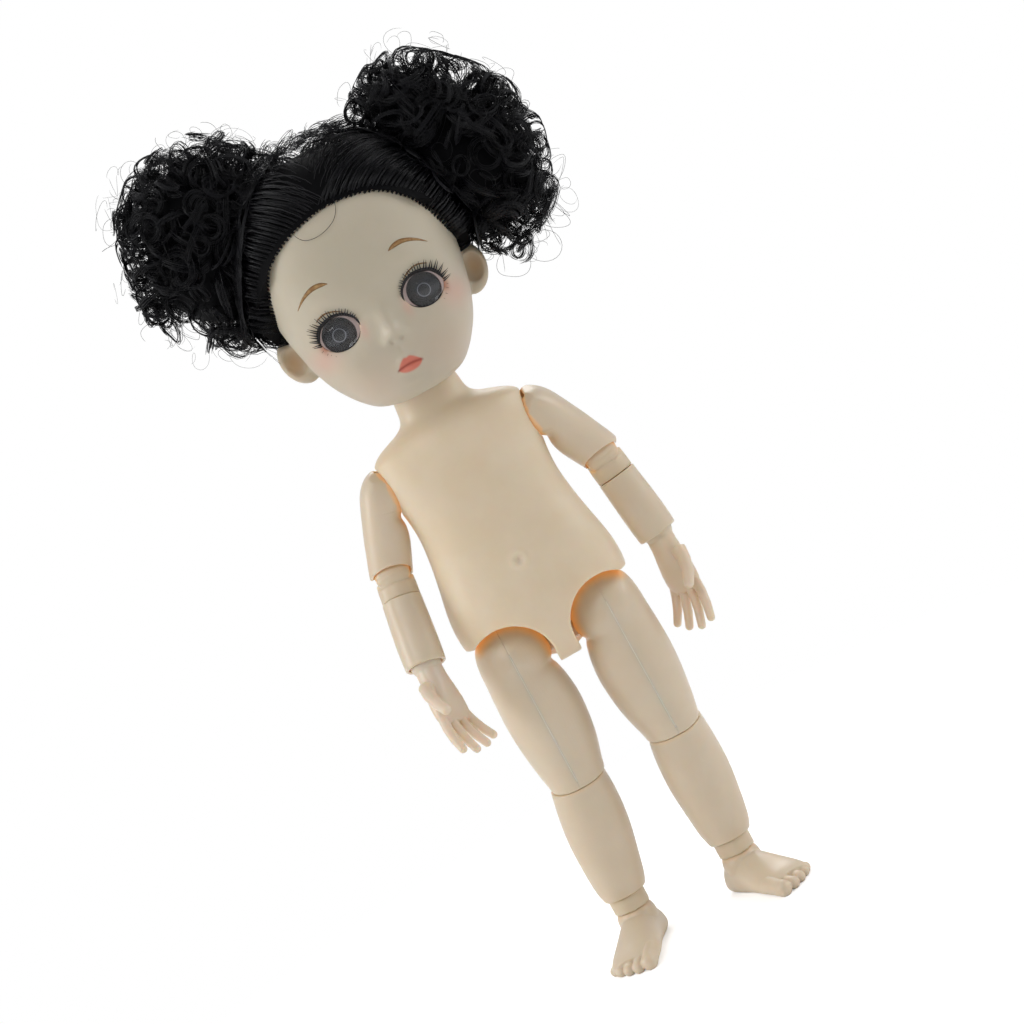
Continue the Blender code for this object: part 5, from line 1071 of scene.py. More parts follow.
def mouth_share(x, z):
    """How far inside the lips a place lies, from 0 at their edge to 1."""
    u = abs(x) / MOUTH_HALF_WIDTH
    if u >= 1:
        return 0
    bow = LIP_BOW_DEPTH * math.exp(-(x / LIP_BOW_WIDTH) ** 2)
    high = MOUTH_CORNER + (MOUTH_TOP - MOUTH_CORNER) * (1 - u ** 1.7) - bow
    low = MOUTH_CORNER + (MOUTH_LOW - MOUTH_CORNER) * math.sqrt(max(0, 1 - (u * 1.12) ** 2))
    return eased(min(high - z, z - low) / LIP_EDGE + 0.22)


def mouth_line_share(x, z):
    u = min(1.2, abs(x) / MOUTH_HALF_WIDTH)
    line = MOUTH_LINE + (MOUTH_CORNER - MOUTH_LINE) * u ** 2
    return math.exp(-((z - line) / MOUTH_LINE_WIDTH) ** 2) * eased((1.08 - u) / 0.25)


def paint(mesh, name, share):
    """Writes how strongly something is painted at each point of a mesh, by its place on the head."""
    layer = mesh.attributes.new(name, "FLOAT", "POINT")
    inverse = head_frame.inverted()
    layer.data.foreach_set("value", [share(inverse @ vertex.co) for vertex in mesh.vertices])


def refined(mesh, zones):
    """Halves the faces of a mesh inside zones of the face: half width, low and high of each."""
    bm = bmesh.new()
    bm.from_mesh(mesh)
    inverse = head_frame.inverted()
    edges = []
    for edge in bm.edges:
        spot = inverse @ ((edge.verts[0].co + edge.verts[1].co) / 2)
        if spot.y < EYE_PLACE[1] - EYE_RADIUS / 2:
            if any(near <= abs(spot.x) <= far and low <= spot.z <= high for near, far, low, high in zones):
                edges.append(edge)
    bmesh.ops.subdivide_edges(bm, edges=edges, cuts=1, use_grid_fill=True)
    bm.to_mesh(mesh)
    bm.free()


head_vinyl, tree, shader, warmed = vinyl(
    "cast_pvc_head", "#c4b9a4", "#d8ad7a", "#bbb19a", 0.50, 1.8, weight=0.30)
last = warmed
for name, code in PAINT_COLOURS.items():
    painted_share = add(tree, "Attribute", {"attribute_name": name})
    last = add(tree, "Mix", {"data_type": "RGBA", 7: colour(code)},
               {0: painted_share.outputs["Fac"], 6: last.outputs[2]})
tree.links.new(last.outputs[2], shader.inputs["Base Color"])

plain_face = head_mesh(face=True)
skin_tree = skin_of(plain_face)
changes = [("UNION", ear(sign)) for sign in (-1, 1)]
changes += [
    cut(head_mesh(HEAD_INNER_DRAW, 48, 2, 1)),
    cut(rod(NECK_HOLE_RADIUS, HEAD_LOW * 2, NECK_PLUG_FLANGE_THICKNESS, head_frame)),
    cut(rod(
        NECK_PLUG_FLANGE_RADIUS + GAP, -NECK_PLUG_FLANGE_THICKNESS / 2 - GAP, NECK_PLUG_RADIUS, head_frame))]
for sign in (-1, 1):
    x, y, z = EYE_PLACE
    changes.append(cut(ball([EYE_RADIUS + GAP] * 3, moved(head_frame, sign * x, y, z))))
    changes.append(cut(eye_hole(sign)))
    changes.append(cut(ear(sign, EAR_BOWL_SHARE, 0, (EAR_RADII[0] / 4, -EAR_RADII[1], 0))))
head_skin = moulded(shaped(plain_face, *changes), HEAD_VOXEL, 2)
refined(head_skin, FINE_ZONES)
inverse = head_frame.inverted()
for vertex in head_skin.vertices:
    spot = inverse @ vertex.co
    if spot.y < EYE_PLACE[1] - EYE_RADIUS:
        vertex.co.y += MOUTH_LINE_DEPTH * mouth_line_share(spot.x, spot.z) \
            + sum(depth * dab(spot, *place) for depth, *place in FACE_DENTS)
face_front = EYE_PLACE[1] - EYE_RADIUS / 2
paint(head_skin, "lips", lambda p: mouth_share(p.x, p.z) * LIPS_STRENGTH if p.y < face_front else 0)
paint(head_skin, "mouth", lambda p: mouth_line_share(p.x, p.z) * MOUTH_STRENGTH if p.y < face_front else 0)
for name, (front, dabs) in PAINT_DABS.items():
    paint(head_skin, name,
          lambda p: sum(strength * dab(p, *place) for strength, *place in dabs) if p.y < front else 0)
# painted light: an amber glow in the bowl of each ear
bowl = (EAR_PLACE[0] + EAR_RADII[0] * 0.25, EAR_PLACE[2], EAR_RADII[0] * 0.5, EAR_RADII[2] * 0.55)
paint(head_skin, "concha", lambda p: EAR_BOWL_GLOW_STRENGTH * dab(p, *bowl)
      if EAR_PLACE[1] - EAR_RADII[1] * 1.5 < p.y < EAR_PLACE[1] + EAR_RADII[1] else 0)
place_moulding("head_moulding", head_skin, "head", head_vinyl, "head_vinyl", "head_shell")
dress(head_vinyl, "neck_plug")
dress(JOINT_NYLON, "neck_stud", "neck_socket")

# Painted lids and brows
# The factory prints the brow and the lid fold in brown and the lid edges in black, straight on the
# vinyl, with the upper edge thickest at its outer end.
PAINT_RISE = 0.00005


def skin_point(x, z, rise=0.0):
    """The place on the face at some distance across and up, raised towards the front."""
    start = head_frame @ Vector((x, -HEAD_DEPTH, z))
    hit = skin_tree.ray_cast(start, Vector((0, 1, 0)))[0]
    return (hit or start) - Vector((0, rise, 0))


def stroke(name, rows, sign, look):
    """A painted line through rows of across, up and width in millimetres, on the face's skin."""
    rows = [tuple(value / 1000 for value in row) for row in smooth_table(rows, 7)]
    rings = []
    for index, (x, z, width) in enumerate(rows):
        before, after = rows[max(index - 1, 0)], rows[min(index + 1, len(rows) - 1)]
        along = Vector((after[0] - before[0], after[1] - before[1])).normalized()
        aside = Vector((-along.y, along.x)) * width / 2
        edge, other = (x + aside.x, z + aside.y), (x - aside.x, z - aside.y)
        rings.append([
            skin_point(sign * edge[0], edge[1]), skin_point(sign * x, z, PAINT_RISE),
            skin_point(sign * other[0], other[1]), skin_point(sign * x, z, -PAINT_RISE)])
    return place_piece(name, mesh_of(rings), "head", look, "head_vinyl")


def matt_paint(name, code, edge, roughness=0.55):
    """Printed lacquer: thin and slightly uneven in strength."""
    made, tree = empty_material(name)
    where = add(tree, "TexCoord")
    uneven = add(tree, "TexNoise", {"Scale": 1 / 0.0006, "Detail": 2.0}, {"Vector": where.outputs["Object"]})
    spread = add(tree, "MapRange", {"From Min": 0.35, "From Max": 0.65}, {"Value": uneven.outputs["Fac"]})
    mixed = add(tree, "Mix", {"data_type": "RGBA", 6: colour(code), 7: colour(edge)},
                {0: spread})
    shader = surface(tree, {"Roughness": roughness, "IOR": 1.5}, {"Base Color": mixed.outputs[2]})
    return made


BROW_PAINT = matt_paint("printed_brown", "#8a6236", "#a58150")
FOLD_PAINT = matt_paint("printed_fold", "#74501f", "#8f6a38")
LID_PAINT = matt_paint("printed_black", "#0c0a0b", "#1a1415", 0.4)
BROW_MM = [
    (13.1, 17.1, 0.10), (11.7, 18.2, 0.42), (10.15, 19.0, 0.68), (8.6, 19.35, 0.90), (7.15, 19.2, 0.74),
    (6.1, 18.85, 0.14)]
FOLD_MM = [
    (11.2, 13.75, 0.10), (10.4, 14.15, 0.24), (9.0, 14.4, 0.26), (7.3, 13.95, 0.24), (6.0, 13.1, 0.10)]
# how far outside the opening each line runs, then the angle from the outer corner and the width there
LID_LINES = {
    "upper": (0.00020, [(-2, 0.12), (12, 0.55), (32, 0.72), (55, 0.66), (90, 0.58), (120, 0.52), (150, 0.44),
                        (172, 0.36), (186, 0.10)]),
    "lower": (0.00004, [(205, 0.06), (225, 0.16), (250, 0.22), (275, 0.24), (300, 0.22), (322, 0.06)]),
}
for side, sign in SIDES:
    stroke(f"brow_{side}", BROW_MM, sign, BROW_PAINT)
    stroke(f"lid_fold_{side}", FOLD_MM, sign, FOLD_PAINT)
    for name, (grow, rows) in LID_LINES.items():
        line = [(*(value * 1000 for value in lid_edge(1, math.radians(degrees), grow)), width)
                for degrees, width in rows]
        stroke(f"{name}_lid_line_{side}", line, sign, LID_PAINT)

# Eyes
# Each eye is a printed acrylic ball, cut flat at the back, under a polished clear dome: black pupil,
# pale ring, grey iris with fine radial streaks, black rim and a slightly pink white. Painted shade
# darkens its top, and painted light makes its white glow a little.
EYE_BACK_CUT = 0.0016
IRIS_PLANE = 0.0044
IRIS_RADIUS = 0.00285
IRIS_SINK = 0.00022
IRIS_ASIDE = -0.00010
PUPIL_RADIUS = 0.00067
LENS_SWELL = 0.0004
WHITE_GLOW = 0.22                   # painted light: the white glows as if lit through the thin vinyl round the eye

eye_print, tree = empty_material("printed_acrylic_eye")
where = add(tree, "Attribute", {"attribute_name": "eye_place"})
split = add(tree, "SeparateXYZ", {}, {0: where.outputs["Vector"]})
flat_place = add(tree, "CombineXYZ", {}, {0: split, 1: split.outputs[2]})
radius = add(tree, "VectorMath", {"operation": "LENGTH"}, {0: flat_place})
around = add(tree, "Math", {"operation": "ARCTAN2"}, {0: split.outputs[2], 1: split})
streak_place = add(tree, "CombineXYZ", {"Z": 0.0}, {0: around, 1: radius.outputs["Value"]})
stretch = add(tree, "VectorMath", {"operation": "MULTIPLY", 1: (7.0, 450.0, 1.0)}, {0: streak_place})
streaks = add(tree, "TexNoise", {"Scale": 1.6, "Detail": 4.0, "Roughness": 0.7}, {"Vector": stretch})
bands = add(tree, "ValToRGB", {}, {0: add(
    tree, "Math", {"operation": "DIVIDE", 1: EYE_RADIUS}, {0: radius.outputs["Value"]})})
band_rows = [
    (0.0, "#020203"), (PUPIL_RADIUS * 0.95, "#030304"), (PUPIL_RADIUS * 1.12, "#131418"),
    (PUPIL_RADIUS * 1.38, "#1d1e23"), (PUPIL_RADIUS * 1.54, "#9da0a6"), (PUPIL_RADIUS * 1.72, "#191a1f"),
    (IRIS_RADIUS * 0.80, "#15161a"), (IRIS_RADIUS * 0.88, "#08080a"), (IRIS_RADIUS * 0.97, "#020203"),
    (IRIS_RADIUS * 1.02, "#2c201d"), (IRIS_RADIUS * 1.07, "#e6d5ce"), (EYE_RADIUS, "#ebdcd6")]
ramp = bands.color_ramp
for index, (place, code) in enumerate(band_rows):
    element = ramp.elements[index] if index < 2 else ramp.elements.new(1.0)
    element.position = place / EYE_RADIUS
    element.color = colour(code)
streak_share = add(
    tree, "MapRange", {"From Min": 0.50, "From Max": 0.78, "To Min": 0.0, "To Max": 0.30},
    {"Value": streaks.outputs["Fac"]})
inside = add(
    tree, "MapRange", {"From Min": IRIS_RADIUS * 0.93, "From Max": IRIS_RADIUS * 0.80},
    {"Value": radius.outputs["Value"]})
outside_pupil = add(
    tree, "MapRange", {"From Min": PUPIL_RADIUS * 1.1, "From Max": PUPIL_RADIUS * 1.6},
    {"Value": radius.outputs["Value"]})
ringed = add(tree, "Math", {"operation": "MULTIPLY"}, {0: inside, 1: outside_pupil})
streaked = add(tree, "Math", {"operation": "MULTIPLY"}, {0: ringed, 1: streak_share})
iris = add(tree, "Mix", {"data_type": "RGBA", 7: colour("#54575f")},
           {0: streaked, 6: bands})
# painted shade: the eye darkens towards its top, as under the shadow of the upper lid
shade = add(tree, "MapRange", {"From Min": 0.0, "From Max": IRIS_RADIUS, "To Min": 0.0, "To Max": 0.6},
            {"Value": split.outputs[2]})
shaded = add(tree, "Mix", {"data_type": "RGBA", 7: colour("#050506")}, {0: shade, 6: iris.outputs[2]})
# painted light: the white of the eye glows a little
white_glow = add(
    tree, "MapRange", {"From Min": IRIS_RADIUS * 1.02, "From Max": IRIS_RADIUS * 1.08, "To Max": WHITE_GLOW},
    {"Value": radius.outputs["Value"]})
shader = surface(
    tree, {"Roughness": 0.30, "IOR": 1.49, "Specular IOR Level": 0.1, "Emission Color": colour("#e2c8c0")},
    {"Base Color": shaded.outputs[2], "Emission Strength": white_glow})

clear_acrylic, tree = empty_material("polished_clear_acrylic")
shader = surface(tree, {
    "Base Color": colour("#f7f8fb"), "Roughness": 0.03, "IOR": 1.49, "Transmission Weight": 1.0,
    "Specular IOR Level": 0.06})

for side, sign in SIDES:
    x, y, z = EYE_PLACE
    spot = moved(head_frame, sign * x, y, z)
    wide = 2 * EYE_RADIUS
    eyeball = shaped(
        ball([EYE_RADIUS] * 3, spot, 96),
        ("INTERSECT", block((-wide, -IRIS_PLANE, -wide), (wide, -EYE_BACK_CUT, wide), spot)))
    place_piece(f"eye_print_{side}", eyeball, "head", eye_print, "eye_acrylic", f"eye_{side}")
    eyeball.set_sharp_from_angle(angle=math.radians(30))
    layer = eyeball.attributes.new("eye_place", "FLOAT_VECTOR", "POINT")
    inverse = (spot @ Matrix.Translation((IRIS_ASIDE, 0, -IRIS_SINK))).inverted()
    layer.data.foreach_set("vector", [value for vertex in eyeball.vertices for value in inverse @ vertex.co])
    dome = ball((EYE_RADIUS, EYE_RADIUS + LENS_SWELL, EYE_RADIUS), spot, 96)
    lens = shaped(dome, ("INTERSECT", block(
        (-wide, -wide, -wide), (wide, -IRIS_PLANE - GAP / 3, wide), spot)))
    place_piece(f"eye_dome_{side}", lens, "head", clear_acrylic, "lens_acrylic", f"lens_{side}")
    lens.set_sharp_from_angle(angle=math.radians(30))

# Eyelashes
# The lashes are short black fibres set in a strip along each upper lid, longest at the outer corner,
# with a few fine painted ones below.
LASH_COUNT = 27
LASH_CLUMP = 2
LASH_THICKNESS = 0.000150
LASH_ROOT_SINK = 0.00030
# angle on the lid from the outer corner, length, lean outwards from the lid's own direction
LASH_ROWS_MM = [
    (-10, 1.6, 8), (8, 2.0, 6), (30, 2.0, 2), (55, 1.65, -2), (80, 1.4, -4), (105, 1.15, -2), (130, 0.95, 2),
    (152, 0.7, 6), (168, 0.4, 8)]
LASH_FORWARD_SHARE = 0.34
LASH_CLEARANCE = (0.00010, 0.00045)   # from the skin, near the root and at the tip
LOWER_LASH_COUNT = 13
LOWER_LASH_LENGTH = 0.00062


def fibres(paths, radii, sides=3):
    """One mesh of many fibres; paths are fibres by points by three, radii fibres by points."""
    count, points = paths.shape[:2]
    ahead = np.gradient(paths, axis=1)
    ahead /= np.linalg.norm(ahead, axis=2, keepdims=True) + 1e-12
    aside = np.cross(ahead, np.array((0.31, 0.55, 0.77)))
    aside /= np.linalg.norm(aside, axis=2, keepdims=True) + 1e-12
    upper = np.cross(ahead, aside)
    turns = 2 * math.pi * np.arange(sides) / sides
    spread = aside[:, :, None] * np.cos(turns)[:, None] + upper[:, :, None] * np.sin(turns)[:, None]
    spots = (paths[:, :, None] + spread * radii[:, :, None, None]).reshape(-1, 3)
    first = (np.arange(count) * points * sides)[:, None, None] + (np.arange(points - 1) * sides)[:, None]
    step, after = np.arange(sides), (np.arange(sides) + 1) % sides
    quads = np.stack([first + step, first + after, first + sides + after, first + sides + step], axis=-1)
    start = (np.arange(count) * points * sides)[:, None]
    caps = np.concatenate([start + step[::-1], start + (points - 1) * sides + step])
    mesh = bpy.data.meshes.new("fibres")
    mesh.from_pydata(spots.tolist(), [], quads.reshape(-1, 4).tolist() + caps.tolist())
    return mesh


draw = np.random.default_rng(5)
lash_fibre, tree = empty_material("black_nylon_lash")
shader = surface(tree, {"Base Color": colour("#0a090b"), "Roughness": 0.45, "IOR": 1.53})
head_origin = np.array(head_frame.translation)
for side, sign in SIDES:
    paths, radii = [], []
    angles = np.linspace(LASH_ROWS_MM[0][0], LASH_ROWS_MM[-1][0], LASH_COUNT)
    shares = np.linspace(0, 1, 7)
    for index, angle in enumerate(angles):
        middle_of_clump = angles[min(index // LASH_CLUMP * LASH_CLUMP + LASH_CLUMP // 2, LASH_COUNT - 1)]
        rows = np.array(LASH_ROWS_MM)
        length = np.interp(angle, rows[:, 0], rows[:, 1]) / 1000 * draw.uniform(0.78, 1.08)
        lean = math.radians(
            np.interp(angle, rows[:, 0], rows[:, 2]) + draw.uniform(-5, 5) + (middle_of_clump - angle) * 1.1)
        x, z = lid_edge(sign, math.radians(angle), 0.00018)
        root = np.array(skin_point(x, z, -LASH_ROOT_SINK)) - head_origin
        out = math.radians(angle) + lean
        bend = shares ** 1.35
        flat = np.array((sign * math.cos(out), 0.0, math.sin(out)))
        path = root + np.outer(bend, flat) * length + np.outer(shares * (1.6 - shares), (0.0, -1.0, 0.0)) * \
            length * LASH_FORWARD_SHARE + np.outer(shares ** 2, (0, 0, 1)) * length * 0.10
        for point, share in zip(path[1:], shares[1:]):
            clear = LASH_CLEARANCE[0] + (LASH_CLEARANCE[1] - LASH_CLEARANCE[0]) * share
            point[1] = min(point[1], skin_point(point[0], point[2], clear)[1] - head_origin[1])
        paths.append(path)
        radii.append(LASH_THICKNESS * (1.0 - 0.85 * shares ** 1.5))
    for index in range(LOWER_LASH_COUNT):
        angle = math.radians(np.interp(index, (0, LOWER_LASH_COUNT - 1), (196, 338)) + draw.uniform(-3, 3))
        x, z = lid_edge(sign, angle, 0.00045)
        root = np.array(skin_point(x, z, -LASH_ROOT_SINK / 2)) - head_origin
        flat = np.array((sign * math.cos(angle), -0.35, math.sin(angle)))
        paths.append(root + np.outer(shares, flat) * LOWER_LASH_LENGTH * draw.uniform(0.7, 1.1))
        radii.append(LASH_THICKNESS * 0.42 * (1.0 - 0.8 * shares))
    place_piece(
        f"lashes_{side}", fibres(np.array(paths) + head_origin, np.array(radii), 5), "head", lash_fibre,
        "lash_fibre", f"eyelashes_{side}")

# Combed hair
# Black nylon fibre is rooted in plugs along the hairline and over the scalp, and is combed tight to
# the two bunches. Its plugs show as small teeth along the forehead, and its fibres shine in streaks.
HAIR_THICKNESS = 0.0024
HAIR_UNDER_THICKNESS = 0.0006
HAIRLINE_HEIGHT = 0.0307
HAIRLINE_HALF_WIDTH = 0.0186
HAIRLINE_LOW = 0.0125
HAIR_FRONT_EDGE = 0.0010
HAIRLINE_SHARES = [
    (-1.00, -0.6), (-0.985, 0.08), (-0.93, 0.30), (-0.85, 0.55), (-0.76, 0.70), (-0.61, 0.82), (-0.44, 0.90),
    (-0.24, 0.96), (0.00, 1.00), (0.24, 0.98), (0.44, 0.93), (0.61, 0.83), (0.76, 0.67), (0.85, 0.51),
    (0.93, 0.28), (0.985, 0.08), (1.00, -0.6)]
HAIRLINE_SET_BACK = 0.0005
NAPE_SLOPE = math.radians(34)
BUNCH_PLACE = {"left": (0.0272, 0.0022, 0.0292), "right": (-0.0222, 0.0022, 0.0372)}
BUNCH_RADII = {"left": (0.0154, 0.0155, 0.0222), "right": (0.0186, 0.0165, 0.0198)}
BUNCH_LEAN = {"left": math.radians(17), "right": math.radians(8)}
TIE_DISTANCE = 0.0253
TIE_RADIUS = 0.0040
TIE_THICKNESS = 0.0009
PLUG_PITCH = 0.00082
PLUG_FIBRES = 13
PLUG_WIDTH = 0.00020
SCALP_ROOTS = 1900
COMBED_RADIUS = 0.000080
COMBED_POINTS = 16
SWEEP_SHARE = 0.42
PARTING_PLACE = -0.0006
PARTING_MIX = 0.0012
COMB_UNEVEN = 0.035
GATHER_START = 0.72
KNOT_RADIUS = 0.0028
MAP_STEPS = 60


def hair_material(name, dark, light, roughness, patch_mm, gloss):
    """Glossy black nylon fibre; the dye is a little uneven from lock to lock."""
    made, tree = empty_material(name)
    where = add(tree, "TexCoord")
    patches = add(
        tree, "TexNoise", {"Scale": 1000 / patch_mm, "Detail": 3.0}, {"Vector": where.outputs["Object"]})
    spread = add(tree, "MapRange", {"From Min": 0.35, "From Max": 0.70}, {"Value": patches.outputs["Fac"]})
    dyed = add(tree, "Mix", {"data_type": "RGBA", 6: colour(dark), 7: colour(light)},
               {0: spread})
    rough = add(
        tree, "MapRange",
        {"From Min": 0.3, "From Max": 0.7, "To Min": roughness - 0.06, "To Max": roughness + 0.10},
        {"Value": patches.outputs["Fac"]})
    shader = surface(
        tree, {"IOR": 1.53, "Specular IOR Level": gloss}, {"Base Color": dyed.outputs[2], "Roughness": rough}
    )
    return made


COMBED_NYLON = hair_material("combed_nylon_fibre", "#060608", "#111116", 0.34, 1.2, 0.34)
CURLED_NYLON = hair_material("curled_nylon_fibre", "#050507", "#0e0e13", 0.40, 2.5, 0.26)
ROOTED_NYLON = hair_material("rooted_nylon_underside", "#040405", "#0a0a0c", 0.62, 0.6, 0.06)
middle = np.array(head_middle)


def reach_table(mesh):
    """How far a closed skin lies from the head's middle, over a grid of rises and turns."""
    skin = skin_of(mesh)
    centre = head_frame @ head_middle
    table = np.zeros((MAP_STEPS + 1, 2 * MAP_STEPS + 1))
    for row in range(MAP_STEPS + 1):
        rise = math.pi * (row / MAP_STEPS - 0.5)
        for column in range(2 * MAP_STEPS + 1):
            turn = math.pi * (column / MAP_STEPS - 1)
            ahead = Vector((
                math.cos(rise) * math.cos(turn), math.cos(rise) * math.sin(turn), math.sin(rise)))
            table[row, column] = skin.ray_cast(centre, ahead)[3] or 0
    return table


def reach(table, ahead):
    """The reach along unit vectors, read between the places of a table."""
    row = (np.arcsin(np.clip(ahead[..., 2], -1, 1)) / math.pi + 0.5) * MAP_STEPS
    column = (np.arctan2(ahead[..., 1], ahead[..., 0]) / math.pi + 1) * MAP_STEPS
    low_row = np.clip(row.astype(int), 0, MAP_STEPS - 1)
    low_column = np.clip(column.astype(int), 0, 2 * MAP_STEPS - 1)
    up, along = row - low_row, column - low_column
    lower = table[low_row, low_column] * (1 - along) + table[low_row, low_column + 1] * along
    upper = table[low_row + 1, low_column] * (1 - along) + table[low_row + 1, low_column + 1] * along
    return lower * (1 - up) + upper * up


def unit(vectors):
    return vectors / (np.linalg.norm(vectors, axis=-1, keepdims=True) + 1e-12)


scalp_reach = reach_table(head_mesh(0, 64, 3))
hair_reach = reach_table(head_mesh(HAIR_THICKNESS, 64, 3))
arch = [(across * HAIRLINE_HALF_WIDTH, HAIRLINE_LOW + (HAIRLINE_HEIGHT - HAIRLINE_LOW) * up)
        for across, up in HAIRLINE_SHARES]


def in_arch(x, z):
    """Whether a place on the front lies on the bare forehead or face."""
    across = [row[0] for row in arch[1:-1]]
    if abs(x) >= HAIRLINE_HALF_WIDTH:
        return False
    return z < np.interp(x, across, [row[1] for row in arch[1:-1]])


def on_scalp(spot):
    x, y, z = spot
    if y < -HAIR_FRONT_EDGE and (in_arch(x, z) or z < HAIRLINE_LOW):
        return False
    return z > HAIRLINE_LOW - (y - EAR_PLACE[1]) * math.tan(NAPE_SLOPE)


def tie_ahead(side):
    return unit(np.array(BUNCH_PLACE[side]) - middle)


def comb(roots, sweeps, level):
    """Paths of fibres from roots on the scalp, along the head, to the nearer bunch."""
    count = len(roots)
    t = np.linspace(0, 1, COMBED_POINTS)[None, :, None]
    start = unit(roots - middle)
    leftwards = roots[:, 0] + draw.normal(0, PARTING_MIX, count) > PARTING_PLACE
    end = np.where(leftwards[:, None], tie_ahead("left"), tie_ahead("right"))
    bend = unit(start + end + sweeps * SWEEP_SHARE + draw.normal(0, COMB_UNEVEN, (count, 3)))
    ahead = unit(start[:, None] * (1 - t) ** 2 + bend[:, None] * 2 * t * (1 - t) + end[:, None] * t ** 2)
    low, high = reach(scalp_reach, ahead), reach(hair_reach, ahead)
    rise = level[:, None] * eased((t[..., 0] + 0.02) / 0.14) - 0.12 * (1 - eased(t[..., 0] / 0.05))
    paths = middle + ahead * (low + (high - low) * rise)[..., None]
    aside = unit(np.cross(end, (0.0, 1.0, 0.0)))
    upper = np.cross(end, aside)
    turn = draw.uniform(0, 2 * math.pi, count)
    out = KNOT_RADIUS * np.sqrt(draw.uniform(0.05, 1, count))
    knot = middle + end * TIE_DISTANCE + (
        aside * np.cos(turn)[:, None] + upper * np.sin(turn)[:, None]) * out[:, None]
    gather = eased((t - GATHER_START) / (1 - GATHER_START))
    return paths * (1 - gather) + knot[:, None] * gather, leftwards


face_arch = mesh_of(
    [
        [
            (x, y, z) for x,
            z in [
                (x * (1 + HAIRLINE_SET_BACK / HAIRLINE_HALF_WIDTH), z + HAIRLINE_SET_BACK) for x, z in arch]]
            for y in (-HEAD_DEPTH, -HAIR_FRONT_EDGE + HAIRLINE_SET_BACK)],
    head_frame)
nape = block(
    [-HEAD_DEPTH] * 3, (HEAD_DEPTH, HEAD_DEPTH, 0),
    moved(head_frame, 0, EAR_PLACE[1], HAIRLINE_LOW) @ turned(-NAPE_SLOPE, "X"))
temple = block([-HEAD_DEPTH] * 3, (HEAD_DEPTH, 0, HAIRLINE_LOW), head_frame)
under = shaped(
    head_mesh(HAIR_UNDER_THICKNESS, 96, 5, 2), cut(head_mesh(GAP / 2, 96, 5)), cut(face_arch), cut(nape),
    cut(temple), cut(ear(1, 1, GAP)), cut(ear(-1, 1, GAP)))
place_piece("combed_under_layer", under, "head", ROOTED_NYLON, "hair_fibre", "combed_hair")
under.set_sharp_from_angle(angle=math.radians(40))

edge = []
for x, z in smooth_table(arch, 14):
    if z >= HAIRLINE_LOW:
        spot = skin_point(x, z) - head_frame.translation
        if abs(x) > HAIRLINE_HALF_WIDTH * 0.995 or spot.y > -HAIR_FRONT_EDGE or spot.y < -HEAD_DEPTH * 0.9:
            ahead = unit(np.array((math.copysign(HEAD_WIDTH / 2, x), -HAIR_FRONT_EDGE, z)) - middle)
            spot = Vector(middle + ahead * reach(scalp_reach, ahead))
        edge.append(np.array(spot))
edge = np.array(edge)
walked = np.concatenate([[0], np.cumsum(np.linalg.norm(np.diff(edge, axis=0), axis=1))])
plug_count = int(walked[-1] / PLUG_PITCH)
plugs = np.stack(
    [np.interp(np.linspace(0, walked[-1], plug_count), walked, edge[:, axis]) for axis in range(3)], 1)
roots = np.repeat(plugs, PLUG_FIBRES, axis=0)
roots = roots + draw.uniform(-PLUG_WIDTH, PLUG_WIDTH, roots.shape)
sweeps = unit(roots * (1, 0, 1) + (0, 0.012, -0.012))
levels = np.repeat(draw.uniform(0.75, 1.0, plug_count), PLUG_FIBRES) * draw.uniform(0.25, 1.05, len(roots))
front_paths, front_left = comb(roots, sweeps, levels)
spots = []
golden = math.pi * (3 - math.sqrt(5))
for index in range(SCALP_ROOTS * 2):
    z = 1 - 2 * (index + 0.5) / (SCALP_ROOTS * 2)
    flat = math.sqrt(1 - z * z)
    ahead = np.array((flat * math.cos(golden * index), flat * math.sin(golden * index), z))
    spot = middle + ahead * reach(scalp_reach, ahead)
    if on_scalp(spot):
        spots.append(spot)
scalp = np.array(spots)
crown_paths, crown_left = comb(
    scalp, unit(scalp * (0.5, 0, 0) + (0, 0.004, 0.006)), draw.uniform(0.70, 1.02, len(scalp)))
for side, picked in (("left", True), ("right", False)):
    paths = np.concatenate([front_paths[front_left == picked], crown_paths[crown_left == picked]])
    thick = COMBED_RADIUS * draw.uniform(0.8, 1.25, (len(paths), 1)) * np.ones((1, COMBED_POINTS))
    place_piece(
        f"combed_fibre_{side}", fibres(paths + head_origin, thick), "head", COMBED_NYLON, "hair_fibre",
        "combed_hair")

# Bunches
# Each bunch is a mass of the same nylon fibre, set in small curls by heat and tied with a thin
# elastic. Its curls are loops and rolls of many fibres, and single ones stand off all round it.
CURL_LOCKS = 240
ROLL_LOCKS = 100
ROLL_SIZES = (0.0020, 0.0040)
ROLL_FIBRES = 12
ROLL_POINTS = 27
ROLL_SPREAD = 0.00040
# ranges of radius, turns and pitch, then the fibres of a lock, their points and their spread
CURL_KINDS = {
    "curl": ((0.0018, 0.0040), (1.1, 2.1), (0.0004, 0.0018), 9, 27, 0.00028),
    "flyaway": ((0.0014, 0.0046), (0.5, 1.5), (0.0005, 0.0030), 1, 34, 0.0003),
    "crown": ((0.0016, 0.0036), (0.7, 1.6), (0.0002, 0.0008), 4, 30, 0.0003),
}
CURL_RADIUS = 0.000062
FLYAWAY_COUNT = 150
FLYAWAY_RADIUS = 0.000034
CORE_SHARE = 0.70
BUNCH_LIMIT = 0.94
BUNCH_FULLNESS = 1.06
BUNCH_SHIFT = {"left": (-0.0018, 0.0, 0.0), "right": (0.0014, 0.0, -0.0018)}
BUNCH_LUMP_SHARE = 0.085
HEAD_CLEARANCE = 0.0004
CROWN_LOCKS = 60
STRAY_MM = [(1.9, 31.6, 1.6), (1.75, 30.4, 0.6), (1.1, 29.1, 0.35), (0.0, 28.0, 0.35), (-1.8, 27.2, 0.35),
            (-3.75, 26.9, 0.35), (-5.6, 27.2, 0.4), (-6.7, 28.1, 0.6), (-7.4, 29.6, 1.8)]


